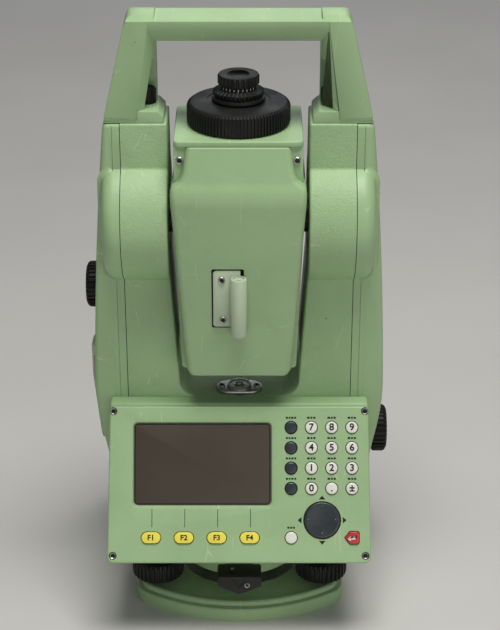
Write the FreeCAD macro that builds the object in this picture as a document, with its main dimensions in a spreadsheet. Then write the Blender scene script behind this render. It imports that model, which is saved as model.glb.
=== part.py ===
import FreeCAD, Part
import math
import os
import re
import Sketcher

# A surveying total station on its levelling base. Origin: the tripod thread's centre on the
# underside of the base plate. +Z is the standing axis, -Y faces the user, +X is to the right.
# At rest the telescope points straight down, with its eyepiece up under the handle.

DIMENSIONS = {
    # levelling base (tribrach)
    "base_thick": 12, "base_side_arc": 99.5, "base_arc_offset": 42.5, "base_corner": 13,
    "foot_circle": 57, "foot_shaft": 4, "foot_knob": 15.6, "foot_knob_low": 17,
    "foot_knob_high": 28.5, "socket_depth": 6, "thread_bore": 6.8, "spring_plate": 30,
    "body_low": 20, "arm_low": 33, "body_high": 45, "drum_radius": 38, "socket_radius": 32,
    "key_height": 30, "key_front": 62, "key_back": 48, "key_half_long": 13, "key_half_high": 5.5,
    "running_gap": 0.05,
    # standing axis
    "alidade_low": 50.5, "flange_radius": 42, "spindle": 10, "circle_radius": 30,
    "worm_wheel": 15, "wheel_low": 82.5, "wheel_high": 91.5,
    # standards
    "tilt_height": 240, "standard_top": 299.7, "standard_front": 16, "standard_back": 38,
    "back_bend": 200, "seam": 65, "gap_top": 39, "gap_floor": 34, "gap_bend": 210,
    "floor_height": 131, "boss": 37, "boss_end": 75.7, "wall": 4, "cover_top": 74.2,
    "cover_wide": 84.2, "cover_wide_height": 138, "cover_curve": 2211, "azimuth_housing": 45,
    "cover_low": 60.5, "cavity_low": 66, "cavity_depth": 18, "key_seat": 18,
    "azimuth_housing_high": 72,
    "bearing": 16, "axle": 10, "tilt_gear": 33, "tilt_roller": 18.6, "knob": 13.5,
    "left_knob_y": 14, "left_knob_height": 190, "left_knob_end": 89.6,
    "right_knob": 14.4, "right_knob_y": 24.7, "right_knob_height": 87, "right_knob_end": 90.5,
    "right_knob_long": 9.5, "left_knob_long": 6, "drive_shaft": 3,
    "worm": 9.4,
    # keyboard, drawn flat: u to the right, v up the slope, w out of the panel
    "panel_top_y": 28, "panel_top": 131, "panel_angle": 60, "panel_half": 76, "panel_long": 90.5,
    "panel_thick": 3, "key_pitch": 11.75, "key_column": 30.1, "key_row": 12.3, "key_round": 3.4,
    "key_rise": 1.2, "key_hole_gap": 0.25, "soft_key_pitch": 19, "soft_key_column": 50.9,
    "soft_key_row": 75.9, "soft_key_long": 11, "soft_key_wide": 6.4, "pad_radius": 10.4,
    "pad_column": 48, "pad_row": 65.8, "glass_left": 62.8, "glass_right": 19.9, "glass_high": 8.1,
    "glass_low": 59.7, "screw_column": 73, "screw_row": 2.6, "screw_low_row": 86.3,
    # telescope
    "tele_low": 152, "tele_low_half": 33, "tele_cover_low_half": 30.5,
    "tele_wide": 37.2, "tele_wide_height": 265,
    "tele_neck": 35.3, "tele_neck_height": 272, "block_low": 284, "block_high": 295,
    "tele_front": 40, "tele_low_front": 33.5, "sight_bed": 34.4,
    "tele_split": 20, "tele_back": 37, "objective": 19, "barrel": 13,
    "barrel_low": 214, "barrel_high": 289, "eye_bore": 8,
    "sight_plate_left": -14.4, "sight_low": 182.5, "sight_high": 221.5, "ring_radius": 28.7,
    "ring_high": 308.6, "eye_tube": 11, "eyepiece_high": 323.5,
    # carrying handle
    "handle_low": 300, "handle_high": 360, "handle_front": 15, "handle_back": 13,
    "handle_foot": 73, "handle_shoulder": 61.5, "grip_half": 44.8, "grip_high": 343,
    "foot_inner": 40.7, "shelf": 306, "thumb_screw": 50, "thumb_radius": 4.8,
    "leg_chamfer": 7.5,
    # battery drawer
    "drawer_near": 3, "drawer_far": 31, "drawer_low": 93, "drawer_high": 149, "drawer_out": 89,
}

doc = FreeCAD.newDocument("TotalStation")
sheet = doc.addObject("Spreadsheet::Sheet", "dims")
for row, (alias, number) in enumerate(DIMENSIONS.items(), start=1):
    sheet.set("A%d" % row, alias)
    sheet.set("B%d" % row, str(number))
    sheet.setAlias("B%d" % row, alias)
doc.recompute()

PARTS = []


def cells(formula):
    """Formula text in which every dimension's name points at its cell."""
    def linked(word):
        return "dims." + word.group() if word.group() in DIMENSIONS else word.group()
    return re.sub(r"[a-z][a-z_0-9]*", linked, str(formula))


def value(formula):
    """The formula's number now."""
    result = sheet.evalExpression(cells(formula))
    return float(getattr(result, "Value", result))


def vector(x, y, z):
    return FreeCAD.Vector(value(x), value(y), value(z))


def placed(x=0, y=0, z=0, axis=(0, 0, 1), angle=0):
    return FreeCAD.Placement(vector(x, y, z), FreeCAD.Rotation(FreeCAD.Vector(*axis), value(angle)))


PANEL = placed(0, "-panel_top_y", "panel_top", (1, 0, 0), "panel_angle")


# ---- sketches and features -------------------------------------------------------------------

def new_body(name, placement=None):
    body = doc.addObject("PartDesign::Body", name)
    body.Label = name
    if placement:
        body.Placement = placement
    PARTS.append(body)
    return body


def new_sketch(body, role, at=0):
    """A sketch on one of the body's own origin planes, moved along the plane's normal."""
    sketch = body.newObject("Sketcher::SketchObject", "%s_sketch" % body.Name)
    plane = [feature for feature in body.Origin.OriginFeatures if feature.Role == role][0]
    sketch.AttachmentSupport = (plane, [""])
    sketch.MapMode = "FlatFace"
    sketch.setExpression(".AttachmentOffset.Base.z", cells(at))
    return sketch


def pin_down(sketch, geometry, point, x, y):
    """Ties a sketch point to its two formulas."""
    for kind, formula, axis in (("DistanceX", x, -2), ("DistanceY", y, -1)):
        number = value(formula)
        if abs(number) < 1e-9:
            sketch.addConstraint(Sketcher.Constraint("PointOnObject", geometry, point, axis))
            continue
        ends = (-1, 1, geometry, point) if number > 0 else (geometry, point, -1, 1)
        index = sketch.addConstraint(Sketcher.Constraint(kind, *ends, abs(number)))
        bound = cells(formula) if number > 0 else "-(%s)" % cells(formula)
        sketch.setExpression("Constraints[%d]" % index, bound)


def polygon(sketch, points):
    """A closed outline through points given as pairs of formulas."""
    count = len(points)
    first = sketch.GeometryCount
    for index in range(count):
        start, end = points[index], points[(index + 1) % count]
        sketch.addGeometry(Part.LineSegment(vector(start[0], start[1], 0), vector(end[0], end[1], 0)))
    for index in range(count):
        following = first + (index + 1) % count
        sketch.addConstraint(Sketcher.Constraint("Coincident", first + index, 2, following, 1))
    for index, (x, y) in enumerate(points):
        pin_down(sketch, first + index, 1, x, y)


def circle(sketch, x, y, radius):
    centre = vector(x, y, 0)
    index = sketch.addGeometry(Part.Circle(centre, FreeCAD.Vector(0, 0, 1), value(radius)))
    pin_down(sketch, index, 3, x, y)
    bound = sketch.addConstraint(Sketcher.Constraint("Radius", index, value(radius)))
    sketch.setExpression("Constraints[%d]" % bound, cells(radius))


def box_outline(sketch, left, right, low, high):
    polygon(sketch, [(left, low), (right, low), (right, high), (left, high)])


def extrude(body, sketch, length, kind="Pad", both=False, backwards=False):
    """A Pad or Pocket. The body's volume has to change the right way."""
    before = body.Shape.Volume if body.Shape and not body.Shape.isNull() else 0
    feature = body.newObject("PartDesign::" + kind, "%s_%s" % (body.Name, kind.lower()))
    feature.Profile = sketch
    feature.setExpression("Length", cells(length))
    feature.Midplane = both
    feature.Reversed = backwards
    body.Tip = feature
    doc.recompute()
    grown = body.Shape.Volume - before
    if (grown <= 0) if kind == "Pad" else (grown >= 0):
        raise RuntimeError("%s of %s changes the volume by %.3f" % (kind, body.Label, grown))
    return feature


def turn(body, points, kind="Revolution"):
    """A Revolution or Groove about the body's Z axis; points are (radius, height) formulas."""
    before = body.Shape.Volume if body.Shape and not body.Shape.isNull() else 0
    sketch = new_sketch(body, "XZ_Plane")
    polygon(sketch, points)
    feature = body.newObject("PartDesign::" + kind, "%s_%s" % (body.Name, kind.lower()))
    feature.Profile = sketch
    feature.ReferenceAxis = (sketch, ["V_Axis"])
    feature.Angle = 360
    body.Tip = feature
    doc.recompute()
    grown = body.Shape.Volume - before
    if (grown <= 0) if kind == "Revolution" else (grown >= 0):
        raise RuntimeError("%s of %s changes the volume by %.3f" % (kind, body.Label, grown))


def turned(name, points, placement=None):
    body = new_body(name, placement)
    turn(body, points)
    return body


def round_edges(body, radius, chosen, kind="Fillet"):
    """Fillets or chamfers the edges of the body that the test picks."""
    base = body.Tip
    names = ["Edge%d" % (index + 1) for index, edge in enumerate(base.Shape.Edges) if chosen(edge)]
    feature = body.newObject("PartDesign::" + kind, "%s_%s" % (body.Name, kind.lower()))
    feature.Base = (base, names)
    feature.setExpression("Radius" if kind == "Fillet" else "Size", cells(radius))
    body.Tip = feature
    doc.recompute()


def runs_along(edge, axis, length=0):
    """True for a straight edge along the axis."""
    if edge.Curve.TypeId != "Part::GeomLine" or edge.Length < length:
        return False
    return abs(edge.tangentAt(edge.FirstParameter).dot(FreeCAD.Vector(*axis))) > 0.999


# ---- primitives ------------------------------------------------------------------------------

def cylinder(radius, height, x=0, y=0, z=0, axis=(0, 0, 1), angle=0):
    solid = doc.addObject("Part::Cylinder", "cylinder")
    solid.setExpression("Radius", cells(radius))
    solid.setExpression("Height", cells(height))
    solid.Placement = placed(x, y, z, axis, angle)
    return solid


def along_x(radius, start, end, y, z):
    """A cylinder along X from start to end."""
    return cylinder(radius, "(%s) - (%s)" % (end, start), start, y, z, (0, 1, 0), 90)


def block(x, y, z):
    """A box from three pairs of formulas."""
    solid = doc.addObject("Part::Box", "block")
    for size, (low, high) in (("Length", x), ("Width", y), ("Height", z)):
        solid.setExpression(size, "(%s) - (%s)" % (cells(high), cells(low)))
    solid.Placement = placed(x[0], y[0], z[0])
    return solid


def boolean(kind, shapes):
    result = doc.addObject("Part::" + kind, kind.lower())
    result.Shapes = shapes
    return result


def cut(base, tools):
    result = doc.addObject("Part::Cut", "cut")
    result.Base = base
    result.Tool = tools[0] if len(tools) == 1 else boolean("MultiFuse", tools)
    return result


def named(name, shape, placement=None):
    """Gives the finished object its node name."""
    shape.Label = name
    if placement:
        shape.Placement = placement
    PARTS.append(shape)
    return shape


def group(name, solids, placement=None):
    """Separate solids of one kind that share a node."""
    compound = doc.addObject("Part::Compound", name)
    compound.Links = solids
    return named(name, compound, placement)


FOOT_ANGLES = {"foot_screw_right": -30, "foot_screw_rear": 90, "foot_screw_left": 210}


def foot_place(name):
    angle = math.radians(FOOT_ANGLES[name])
    reach = value("foot_circle")
    return round(reach * math.cos(angle), 4), round(reach * math.sin(angle), 4)


# ---- levelling base --------------------------------------------------------------------------

def base_plate():
    """Three bulging sides, each an arc about a centre beyond the standing axis."""
    discs = []
    for name in FOOT_ANGLES:
        x, y = foot_place(name)
        scale = value("base_arc_offset") / value("foot_circle")
        discs.append(cylinder("base_side_arc", "base_thick", x * scale, y * scale, 0))
    outline = boolean("MultiCommon", discs)
    doc.recompute()
    rounded = doc.addObject("Part::Fillet", "base_corners")
    rounded.Base = outline
    corner = value("base_corner")
    rounded.Edges = [(index + 1, corner, corner) for index, edge in enumerate(outline.Shape.Edges)
                     if runs_along(edge, (0, 0, 1))]
    doc.recompute()
    rim = doc.addObject("Part::Chamfer", "base_rim")
    rim.Base = rounded
    rim.Edges = [(index + 1, 2.5, 2.5) for index, edge in enumerate(rounded.Shape.Edges)
                 if edge.BoundBox.ZMin > value("base_thick") - 0.01]
    holes = [cylinder("spring_plate", "base_thick")]
    holes.append(cylinder("spring_plate + 6", "base_thick", 0, 0, "base_thick - 4"))
    for name in FOOT_ANGLES:
        x, y = foot_place(name)
        holes.append(cylinder("foot_shaft + running_gap", "base_thick", x, y, "socket_depth"))
    named("tribrach_base_plate", cut(rim, holes))


def spring_plate():
    """Disc with the tripod thread, held down in the base plate by its flange."""
    turned("tribrach_spring_plate", [
        ("thread_bore", 0), ("spring_plate", 0), ("spring_plate", "base_thick - 4"),
        ("spring_plate + 6", "base_thick - 4"), ("spring_plate + 6", "base_thick"),
        ("thread_bore", "base_thick")])


def foot_screws():
    for name in FOOT_ANGLES:
        x, y = foot_place(name)
        turned(name, [
            (0, "socket_depth + 0.3"), ("foot_shaft", "socket_depth + 0.3"),
            ("foot_shaft", "foot_knob_low"), ("foot_knob - 1.5", "foot_knob_low"),
            ("foot_knob", "foot_knob_low + 1.5"), ("foot_knob", "foot_knob_high - 1.5"),
            ("foot_knob - 1.5", "foot_knob_high"), ("foot_shaft", "foot_knob_high"),
            ("foot_shaft", "body_high - 1"), (0, "body_high - 1")], placed(x, y, 0))


def tribrach_body():
    """Drum with three arms for the foot screws and a socket for the instrument."""
    body = new_body("tribrach_body")
    drum = new_sketch(body, "XY_Plane", "body_low")
    circle(drum, 0, 0, "drum_radius")
    extrude(body, drum, "body_high - body_low")
    for name in FOOT_ANGLES:
        x, y = foot_place(name)
        arm = new_sketch(body, "XY_Plane", "arm_low")
        circle(arm, x, y, 11)
        extrude(body, arm, "body_high - arm_low")
        across = FreeCAD.Vector(-y, x, 0).normalize() * 10
        corners = [(across.x, across.y), (x + across.x, y + across.y),
                   (x - across.x, y - across.y), (-across.x, -across.y)]
        web = new_sketch(body, "XY_Plane", "arm_low")
        polygon(web, [(round(u, 4), round(v, 4)) for u, v in corners])
        extrude(body, web, "body_high - arm_low")
    key_boss = new_sketch(body, "XZ_Plane")
    circle(key_boss, 0, "key_height", 7)
    extrude(body, key_boss, "key_back - 0.3")
    socket = new_sketch(body, "XY_Plane", "arm_low")
    circle(socket, 0, 0, "socket_radius")
    extrude(body, socket, 20, "Pocket", backwards=True)
    sight_hole = new_sketch(body, "XY_Plane", "arm_low")
    circle(sight_hole, 0, 0, 16)
    extrude(body, sight_hole, 20, "Pocket")
    for name in FOOT_ANGLES:
        x, y = foot_place(name)
        bore = new_sketch(body, "XY_Plane", "body_high")
        circle(bore, x, y, "foot_shaft + running_gap")
        extrude(body, bore, 20, "Pocket")
    key_bore = new_sketch(body, "XZ_Plane", "key_back")
    circle(key_bore, 0, "key_height", "3 + running_gap")
    extrude(body, key_bore, "key_seat", "Pocket")


def lock_key():
    """Arrow-shaped lever that turns half a turn about the Y axis to free the instrument."""
    body = new_body("lock_key")
    lever = new_sketch(body, "XZ_Plane", "key_back")
    polygon(lever, [
        ("-key_half_long", "key_height + key_half_high"),
        ("-key_half_long", "key_height + 1"),
        ("-5", "key_height - key_half_high + 1"), (0, "key_height - key_half_high - 2"),
        ("5", "key_height - key_half_high + 1"), ("key_half_long", "key_height + 1"),
        ("key_half_long", "key_height + key_half_high")])
    extrude(body, lever, "key_front - key_back")
    shaft = new_sketch(body, "XZ_Plane", "key_back")
    circle(shaft, 0, "key_height", 3)
    extrude(body, shaft, 16, backwards=True)


# ---- standing axis ---------------------------------------------------------------------------

def standing_axis():
    turned("base_flange", [
        ("spindle + 2", "arm_low + 0.3"), ("socket_radius - 0.3", "arm_low + 0.3"),
        ("socket_radius - 0.3", "body_high + 0.3"), ("flange_radius", "body_high + 0.3"),
        ("flange_radius", "alidade_low - 0.5"), ("spindle + 2", "alidade_low - 0.5")])
    turned("azimuth_spindle", [
        (4, "arm_low + 3"), ("spindle + 2", "arm_low + 3"), ("spindle + 2", "alidade_low - 0.5"),
        ("spindle", "alidade_low - 0.5"), ("spindle", "wheel_low"), ("worm_wheel", "wheel_low"),
        ("worm_wheel", "wheel_high"), (4, "wheel_high")])
    turned("horizontal_circle", [
        ("spindle", 60), ("circle_radius", 60), ("circle_radius", 62.5), ("spindle", 62.5)])


# ---- standards and covers --------------------------------------------------------------------

def side_profile(sketch, inset=0, low="alidade_low"):
    """Outline of a standard from the side: upright in front, sloping back below the handle."""
    polygon(sketch, [
        ("-(standard_front - %s)" % inset, low),
        ("-(standard_front - %s)" % inset, "standard_top - %s" % inset),
        ("standard_front - %s" % inset, "standard_top - %s" % inset),
        ("standard_back - %s" % inset, "back_bend - %s" % inset),
        ("standard_back - %s" % inset, low)])


def alidade_frame():
    """U-shaped casting: two hollow standards, the floor between them and the axis housing."""
    body = new_body("alidade_frame")
    profile = new_sketch(body, "YZ_Plane")
    side_profile(profile)
    extrude(body, profile, "2 * (seam - 0.2)", both=True)
    boss = new_sketch(body, "YZ_Plane")
    circle(boss, 0, "tilt_height", "boss")
    extrude(body, boss, "2 * (seam - 0.2)", both=True)
    housing = new_sketch(body, "XY_Plane", "alidade_low")
    circle(housing, 0, 0, "azimuth_housing")
    extrude(body, housing, "azimuth_housing_high - alidade_low")
    gap = new_sketch(body, "XZ_Plane")
    polygon(gap, [
        ("-gap_top", "standard_top + 5"), ("-gap_top", "gap_bend"), ("-gap_floor", "floor_height + 8"),
        ("-gap_floor + 8", "floor_height"), ("gap_floor - 8", "floor_height"),
        ("gap_floor", "floor_height + 8"), ("gap_top", "gap_bend"), ("gap_top", "standard_top + 5")])
    extrude(body, gap, 200, "Pocket", both=True)
    for side, backwards in ((1, False), (-1, True)):
        cavity = new_sketch(body, "YZ_Plane", "%d * (seam - 0.2)" % side)
        side_profile(cavity, "wall", "cavity_low")
        extrude(body, cavity, "cavity_depth", "Pocket", backwards=backwards)
        drum = new_sketch(body, "YZ_Plane", "%d * (seam - 0.2)" % side)
        circle(drum, 0, "tilt_height", "boss - 3")
        extrude(body, drum, 14, "Pocket", backwards=backwards)
    bearing_bore = new_sketch(body, "YZ_Plane")
    circle(bearing_bore, 0, "tilt_height", "bearing")
    extrude(body, bearing_bore, 120, "Pocket", both=True)
    turn(body, [
        (0, "alidade_low"), ("circle_radius + 3", "alidade_low"), ("circle_radius + 3", 68),
        ("spindle + running_gap", 68), ("spindle + running_gap", "wheel_low - 1"),
        ("worm_wheel + 1", "wheel_low - 1"), ("worm_wheel + 1", "wheel_high + 1"),
        (0, "wheel_high + 1")], "Groove")
    worm_channel = new_sketch(body, "YZ_Plane", 50)
    circle(worm_channel, "right_knob_y", "right_knob_height", "worm + 1")
    extrude(body, worm_channel, 65, "Pocket")
    vial = new_sketch(body, "XY_Plane", "floor_height")
    circle(vial, 0, -7, 8)
    extrude(body, vial, 6, "Pocket")
    screw_holes = new_sketch(body, "XY_Plane", "standard_top")
    for side in (1, -1):
        circle(screw_holes, "%d * thumb_screw" % side, 0, "2 + running_gap")
    extrude(body, screw_holes, 12, "Pocket")


COVER_TUCK = [(82.4, 118), (80.8, 105), (78.5, 88), (76.5, 72), (75.5, 60), (75.5, 40), (110, 40)]


def outer_curve(sketch, side):
    """Region outside a side cover's bowed face, which tucks in below, to be cut away."""
    top = vector("%d * cover_top" % side, "standard_top + 1", 0)
    low = vector("%d * cover_wide" % side, "cover_wide_height", 0)
    radius = value("cover_curve")
    middle = (top + low) * 0.5
    half = (low - top).Length / 2
    away = FreeCAD.Vector(-side * abs(low.y - top.y), side * (low.x - top.x) * -1, 0).normalize()
    centre = middle + away * math.sqrt(radius ** 2 - half ** 2)
    bulge = centre + (middle - centre).normalize() * radius
    sketch.addGeometry(Part.Arc(top, bulge, low), False)
    corners = [low] + [FreeCAD.Vector(side * x, z, 0) for x, z in COVER_TUCK]
    corners += [vector("%d * 110" % side, "standard_top + 1", 0), top]
    for start, end in zip(corners, corners[1:]):
        sketch.addGeometry(Part.LineSegment(start, end), False)


def side_cover(name, side):
    """Shell over the outside of one standard, with the end of the tilting-axis boss."""
    body = new_body(name)
    inward = side < 0
    face = "%d * seam" % side
    profile = new_sketch(body, "YZ_Plane", face)
    side_profile(profile, low="cover_low")
    extrude(body, profile, 25, backwards=inward)
    outside = new_sketch(body, "XZ_Plane")
    outer_curve(outside, side)
    extrude(body, outside, 200, "Pocket", both=True)
    boss = new_sketch(body, "YZ_Plane", face)
    circle(boss, 0, "tilt_height", "boss")
    extrude(body, boss, "boss_end - seam", backwards=inward)
    hollow = new_sketch(body, "YZ_Plane", face)
    side_profile(hollow, "wall", "cavity_low")
    extrude(body, hollow, 6, "Pocket", backwards=not inward)
    return body


def side_covers():
    right = side_cover("side_cover_right", 1)
    bore = new_sketch(right, "YZ_Plane", "seam")
    circle(bore, "right_knob_y", "right_knob_height", "drive_shaft + running_gap")
    extrude(right, bore, 40, "Pocket", backwards=True)
    left = side_cover("side_cover_left", -1)
    bore = new_sketch(left, "YZ_Plane", "-seam")
    circle(bore, "left_knob_y", "left_knob_height", "drive_shaft + running_gap")
    extrude(left, bore, 40, "Pocket")
    window = new_sketch(left, "YZ_Plane", "-seam")
    box_outline(window, "drawer_near - 0.4", "drawer_far + 0.4", "drawer_low - 0.4", "drawer_high + 0.4")
    extrude(left, window, 40, "Pocket")


def rear_housing():
    """Electronics housing on the back, opposite the keyboard."""
    body = new_body("rear_housing")
    profile = new_sketch(body, "YZ_Plane")
    polygon(profile, [
        ("standard_back + 0.2", "alidade_low + 0.5"), (73, "alidade_low + 0.5"), (73, 72),
        (50, "floor_height"), ("standard_back + 0.2", "floor_height")])
    extrude(body, profile, 146, both=True)
    hollow = new_sketch(body, "YZ_Plane")
    polygon(hollow, [
        ("standard_back + 3", "alidade_low + 4"), (69, "alidade_low + 4"), (69, 71),
        (48, "floor_height - 4"), ("standard_back + 3", "floor_height - 4")])
    extrude(body, hollow, 138, "Pocket", both=True)
    clearance = new_sketch(body, "XY_Plane", "alidade_low")
    circle(clearance, 0, 0, "azimuth_housing + 0.3")
    extrude(body, clearance, "azimuth_housing_high - alidade_low + 0.5", "Pocket", backwards=True)


# ---- keyboard --------------------------------------------------------------------------------

def keyboard_housing():
    """Wedge behind the panel, open towards it, with thick side walls for the panel screws."""
    body = new_body("keyboard_housing")
    slope = "tan(90 - panel_angle)"
    inner_y = "(panel_top_y - panel_thick / cos(90 - panel_angle))"
    low = "(alidade_low + 0.5)"
    profile = new_sketch(body, "YZ_Plane")
    polygon(profile, [
        ("-(standard_front + 0.2)", "panel_top"), ("-" + inner_y, "panel_top"),
        ("-(%s + (panel_top - %s) * %s)" % (inner_y, low, slope), low),
        ("-(standard_front + 0.2)", low)])
    extrude(body, profile, "2 * panel_half", both=True)
    hollow = new_sketch(body, "YZ_Plane")
    polygon(hollow, [
        ("-(standard_front + 3)", "panel_top - 3"), ("-(%s + 3 * %s)" % (inner_y, slope), "panel_top - 3"),
        ("-(%s + (panel_top - %s - 3) * %s)" % (inner_y, low, slope), low + " + 3"),
        ("-(standard_front + 3)", low + " + 3")])
    extrude(body, hollow, "2 * (panel_half - 5)", "Pocket", both=True)
    clearance = new_sketch(body, "XY_Plane", "alidade_low")
    circle(clearance, 0, 0, "azimuth_housing + 0.3")
    extrude(body, clearance, "azimuth_housing_high - alidade_low + 0.5", "Pocket", backwards=True)
    screws = [(column, row) for column in ("-screw_column", "screw_column")
              for row in ("-screw_row", "-screw_low_row")]
    drilled = cut(body, [cylinder(1.25, 14, *panel_point(u, v, -14)) for u, v in screws])
    for tool in drilled.Tool.Shapes:
        tool.Placement = FreeCAD.Placement(tool.Placement.Base, PANEL.Rotation)
    PARTS.remove(body)
    body.Label = "keyboard_housing_blank"
    named("keyboard_housing", drilled)


def panel_point(u, v, w):
    """Point given on the panel, as X, Y, Z."""
    point = PANEL.multVec(vector(u, v, w))
    return round(point.x, 6), round(point.y, 6), round(point.z, 6)


ROUND_KEYS = {}
for row_index, names in enumerate((("user", "7", "8", "9"), ("function", "4", "5", "6"),
                                   ("menu", "1", "2", "3"), ("page", "0", "point", "sign"))):
    for column_index, key_word in enumerate(names):
        ROUND_KEYS["key_" + key_word] = (
            "key_column + %d * key_pitch" % column_index, "-(key_row + %d * key_pitch)" % row_index)
ROUND_KEYS["key_escape"] = ("key_column", "-soft_key_row")

SOFT_KEYS = {"key_f%d" % (index + 1): ("%d * soft_key_pitch - soft_key_column" % index, "-soft_key_row")
             for index in range(4)}
ENTER_KEY = ("key_column + 3 * key_pitch", "-soft_key_row")


def stadium(sketch, x, y, length, width):
    """Rounded bar outline for the soft keys, lying along u."""
    centre = vector(x, y, 0)
    radius = value(width) / 2
    reach = value(length) / 2 - radius
    right = centre + FreeCAD.Vector(reach, 0, 0)
    left = centre - FreeCAD.Vector(reach, 0, 0)
    up = FreeCAD.Vector(0, radius, 0)
    out = FreeCAD.Vector(radius, 0, 0)
    sketch.addGeometry(Part.LineSegment(left - up, right - up), False)
    sketch.addGeometry(Part.Arc(right - up, right + out, right + up), False)
    sketch.addGeometry(Part.LineSegment(right + up, left + up), False)
    sketch.addGeometry(Part.Arc(left + up, left - out, left - up), False)


def enter_outline(sketch, grow=0):
    """Five-sided key with its left end drawn out to a point."""
    u, v = ENTER_KEY
    half_long, half_wide = 4.0 + grow, 3.5 + grow
    polygon(sketch, [
        ("%s - %s" % (u, half_long + 0.2), v), ("%s - 1" % u, "%s - %s" % (v, half_wide)),
        ("%s + %s" % (u, half_long), "%s - %s" % (v, half_wide)),
        ("%s + %s" % (u, half_long), "%s + %s" % (v, half_wide)),
        ("%s - 1" % u, "%s + %s" % (v, half_wide))])


def keyboard_panel():
    body = new_body("keyboard_panel", PANEL)
    plate = new_sketch(body, "XY_Plane", "-panel_thick")
    box_outline(plate, "-panel_half", "panel_half", "-panel_long", 0)
    extrude(body, plate, "panel_thick")
    round_edges(body, 4, lambda edge: runs_along(edge, (0, 0, 1)))
    holes = new_sketch(body, "XY_Plane")
    for u, v in ROUND_KEYS.values():
        circle(holes, u, v, "key_round + key_hole_gap")
    circle(holes, "pad_column", "-pad_row", "pad_radius + key_hole_gap")
    for u in ("-screw_column", "screw_column"):
        for v in ("-screw_row", "-screw_low_row"):
            circle(holes, u, v, 1.9)
    extrude(body, holes, 10, "Pocket")
    soft_holes = new_sketch(body, "XY_Plane")
    for u, v in SOFT_KEYS.values():
        stadium(soft_holes, u, v, "soft_key_long + 0.5", "soft_key_wide + 0.5")
    extrude(body, soft_holes, 10, "Pocket")
    window = new_sketch(body, "XY_Plane")
    box_outline(window, "-glass_left", "glass_right", "-glass_low", "-glass_high")
    enter_outline(window, 0.25)
    extrude(body, window, 10, "Pocket")


def display_module():
    """Liquid-crystal display behind its window, set a little below the panel."""
    body = new_body("display_module", PANEL)
    window = new_sketch(body, "XY_Plane", -1)
    box_outline(window, "0.1 - glass_left", "glass_right - 0.1", "0.1 - glass_low", "-glass_high - 0.1")
    extrude(body, window, 8, backwards=True)


def keys():
    """Every key has a cap through the panel and a flange below it."""
    outlines = {}
    for name, (u, v) in ROUND_KEYS.items():
        outlines[name] = lambda sketch, grow, u=u, v=v: circle(sketch, u, v, "key_round + %s" % grow)
    for name, (u, v) in SOFT_KEYS.items():
        outlines[name] = lambda sketch, grow, u=u, v=v: stadium(
            sketch, u, v, "soft_key_long + 2 * %s" % grow, "soft_key_wide + 2 * %s" % grow)
    outlines["key_enter"] = enter_outline
    outlines["navigation_pad"] = lambda sketch, grow: circle(
        sketch, "pad_column", "-pad_row", "pad_radius + %s" % grow)
    for name, draw in outlines.items():
        body = new_body(name, PANEL)
        flange = new_sketch(body, "XY_Plane", "-panel_thick - 2.5")
        draw(flange, 0.8)
        extrude(body, flange, 1.5)
        cap = new_sketch(body, "XY_Plane", "-panel_thick - 1.5")
        draw(cap, 0)
        extrude(body, cap, "panel_thick + 1.5 + key_rise")


def circuit_boards():
    """Key board behind the panel, main board in the right standard."""
    key_board = block((-64, 64), (-76, -10), (-12.4, -10.8))
    key_board.Placement = PANEL.multiply(key_board.Placement)
    main_board = block((60, 61.6), (-10, 14), (112, 196))
    group("circuit_boards", [key_board, main_board])


def case_screws():
    """Panel screws and the screws of the rear housing."""
    solids = []
    for u in ("-screw_column", "screw_column"):
        for v in ("-screw_row", "-screw_low_row"):
            head = cylinder(1.8, "panel_thick - 0.3", u, v, "-panel_thick")
            shank = cylinder(1.2, 10.5, u, v, "-panel_thick - 10")
            screw = boolean("MultiFuse", [head, shank])
            screw.Placement = PANEL
            solids.append(screw)
    slope = math.degrees(math.atan2(73 - 50, value("floor_height") - 72))
    for x in (-60, 60):
        solids.append(cylinder(2.2, 1, x, 73.02, 62, (1, 0, 0), -90))
        back = 73 - (118 - 72) * math.tan(math.radians(slope))
        solids.append(cylinder(2.2, 1, x, back + 0.03, 118, (1, 0, 0), slope - 90))
    group("case_screws", solids)


def circular_level():
    body = new_body("circular_level")
    plate = new_sketch(body, "XY_Plane", "floor_height")
    box_outline(plate, -13.5, 13.5, -15.5, 1.5)
    extrude(body, plate, 3)
    round_edges(body, 6, lambda edge: runs_along(edge, (0, 0, 1)))
    vial = new_sketch(body, "XY_Plane", "floor_height - 5")
    circle(vial, 0, -7, 7.7)
    extrude(body, vial, 10.5)


# ---- tilting axis, drives, telescope ---------------------------------------------------------

def bearings():
    rings = []
    for start, end in ((-46.7, -39.3), (39.3, 46.7)):
        ring = along_x("bearing", start, end, 0, "tilt_height")
        bore = along_x("axle + running_gap", start, end, 0, "tilt_height")
        rings.append(cut(ring, [bore]))
    group("trunnion_bearings", rings)


def drives():
    """Tangent knobs: the left one turns the tilting axis, the right one the standing axis."""
    left = [along_x("knob", "-left_knob_end", "-left_knob_end + left_knob_long", "left_knob_y", "left_knob_height"),
            along_x("drive_shaft", "-left_knob_end + left_knob_long - 1", -51.5, "left_knob_y", "left_knob_height"),
            along_x("tilt_roller", -58, -52, "left_knob_y", "left_knob_height")]
    named("vertical_drive", boolean("MultiFuse", left))
    end = "right_knob_end"
    right = [along_x("right_knob", end + " - right_knob_long", end, "right_knob_y", "right_knob_height"),
             along_x("drive_shaft", -12, end + " - 2", "right_knob_y", "right_knob_height"),
             along_x("worm", -10, 10, "right_knob_y", "right_knob_height")]
    named("horizontal_drive", boolean("MultiFuse", right))


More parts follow.
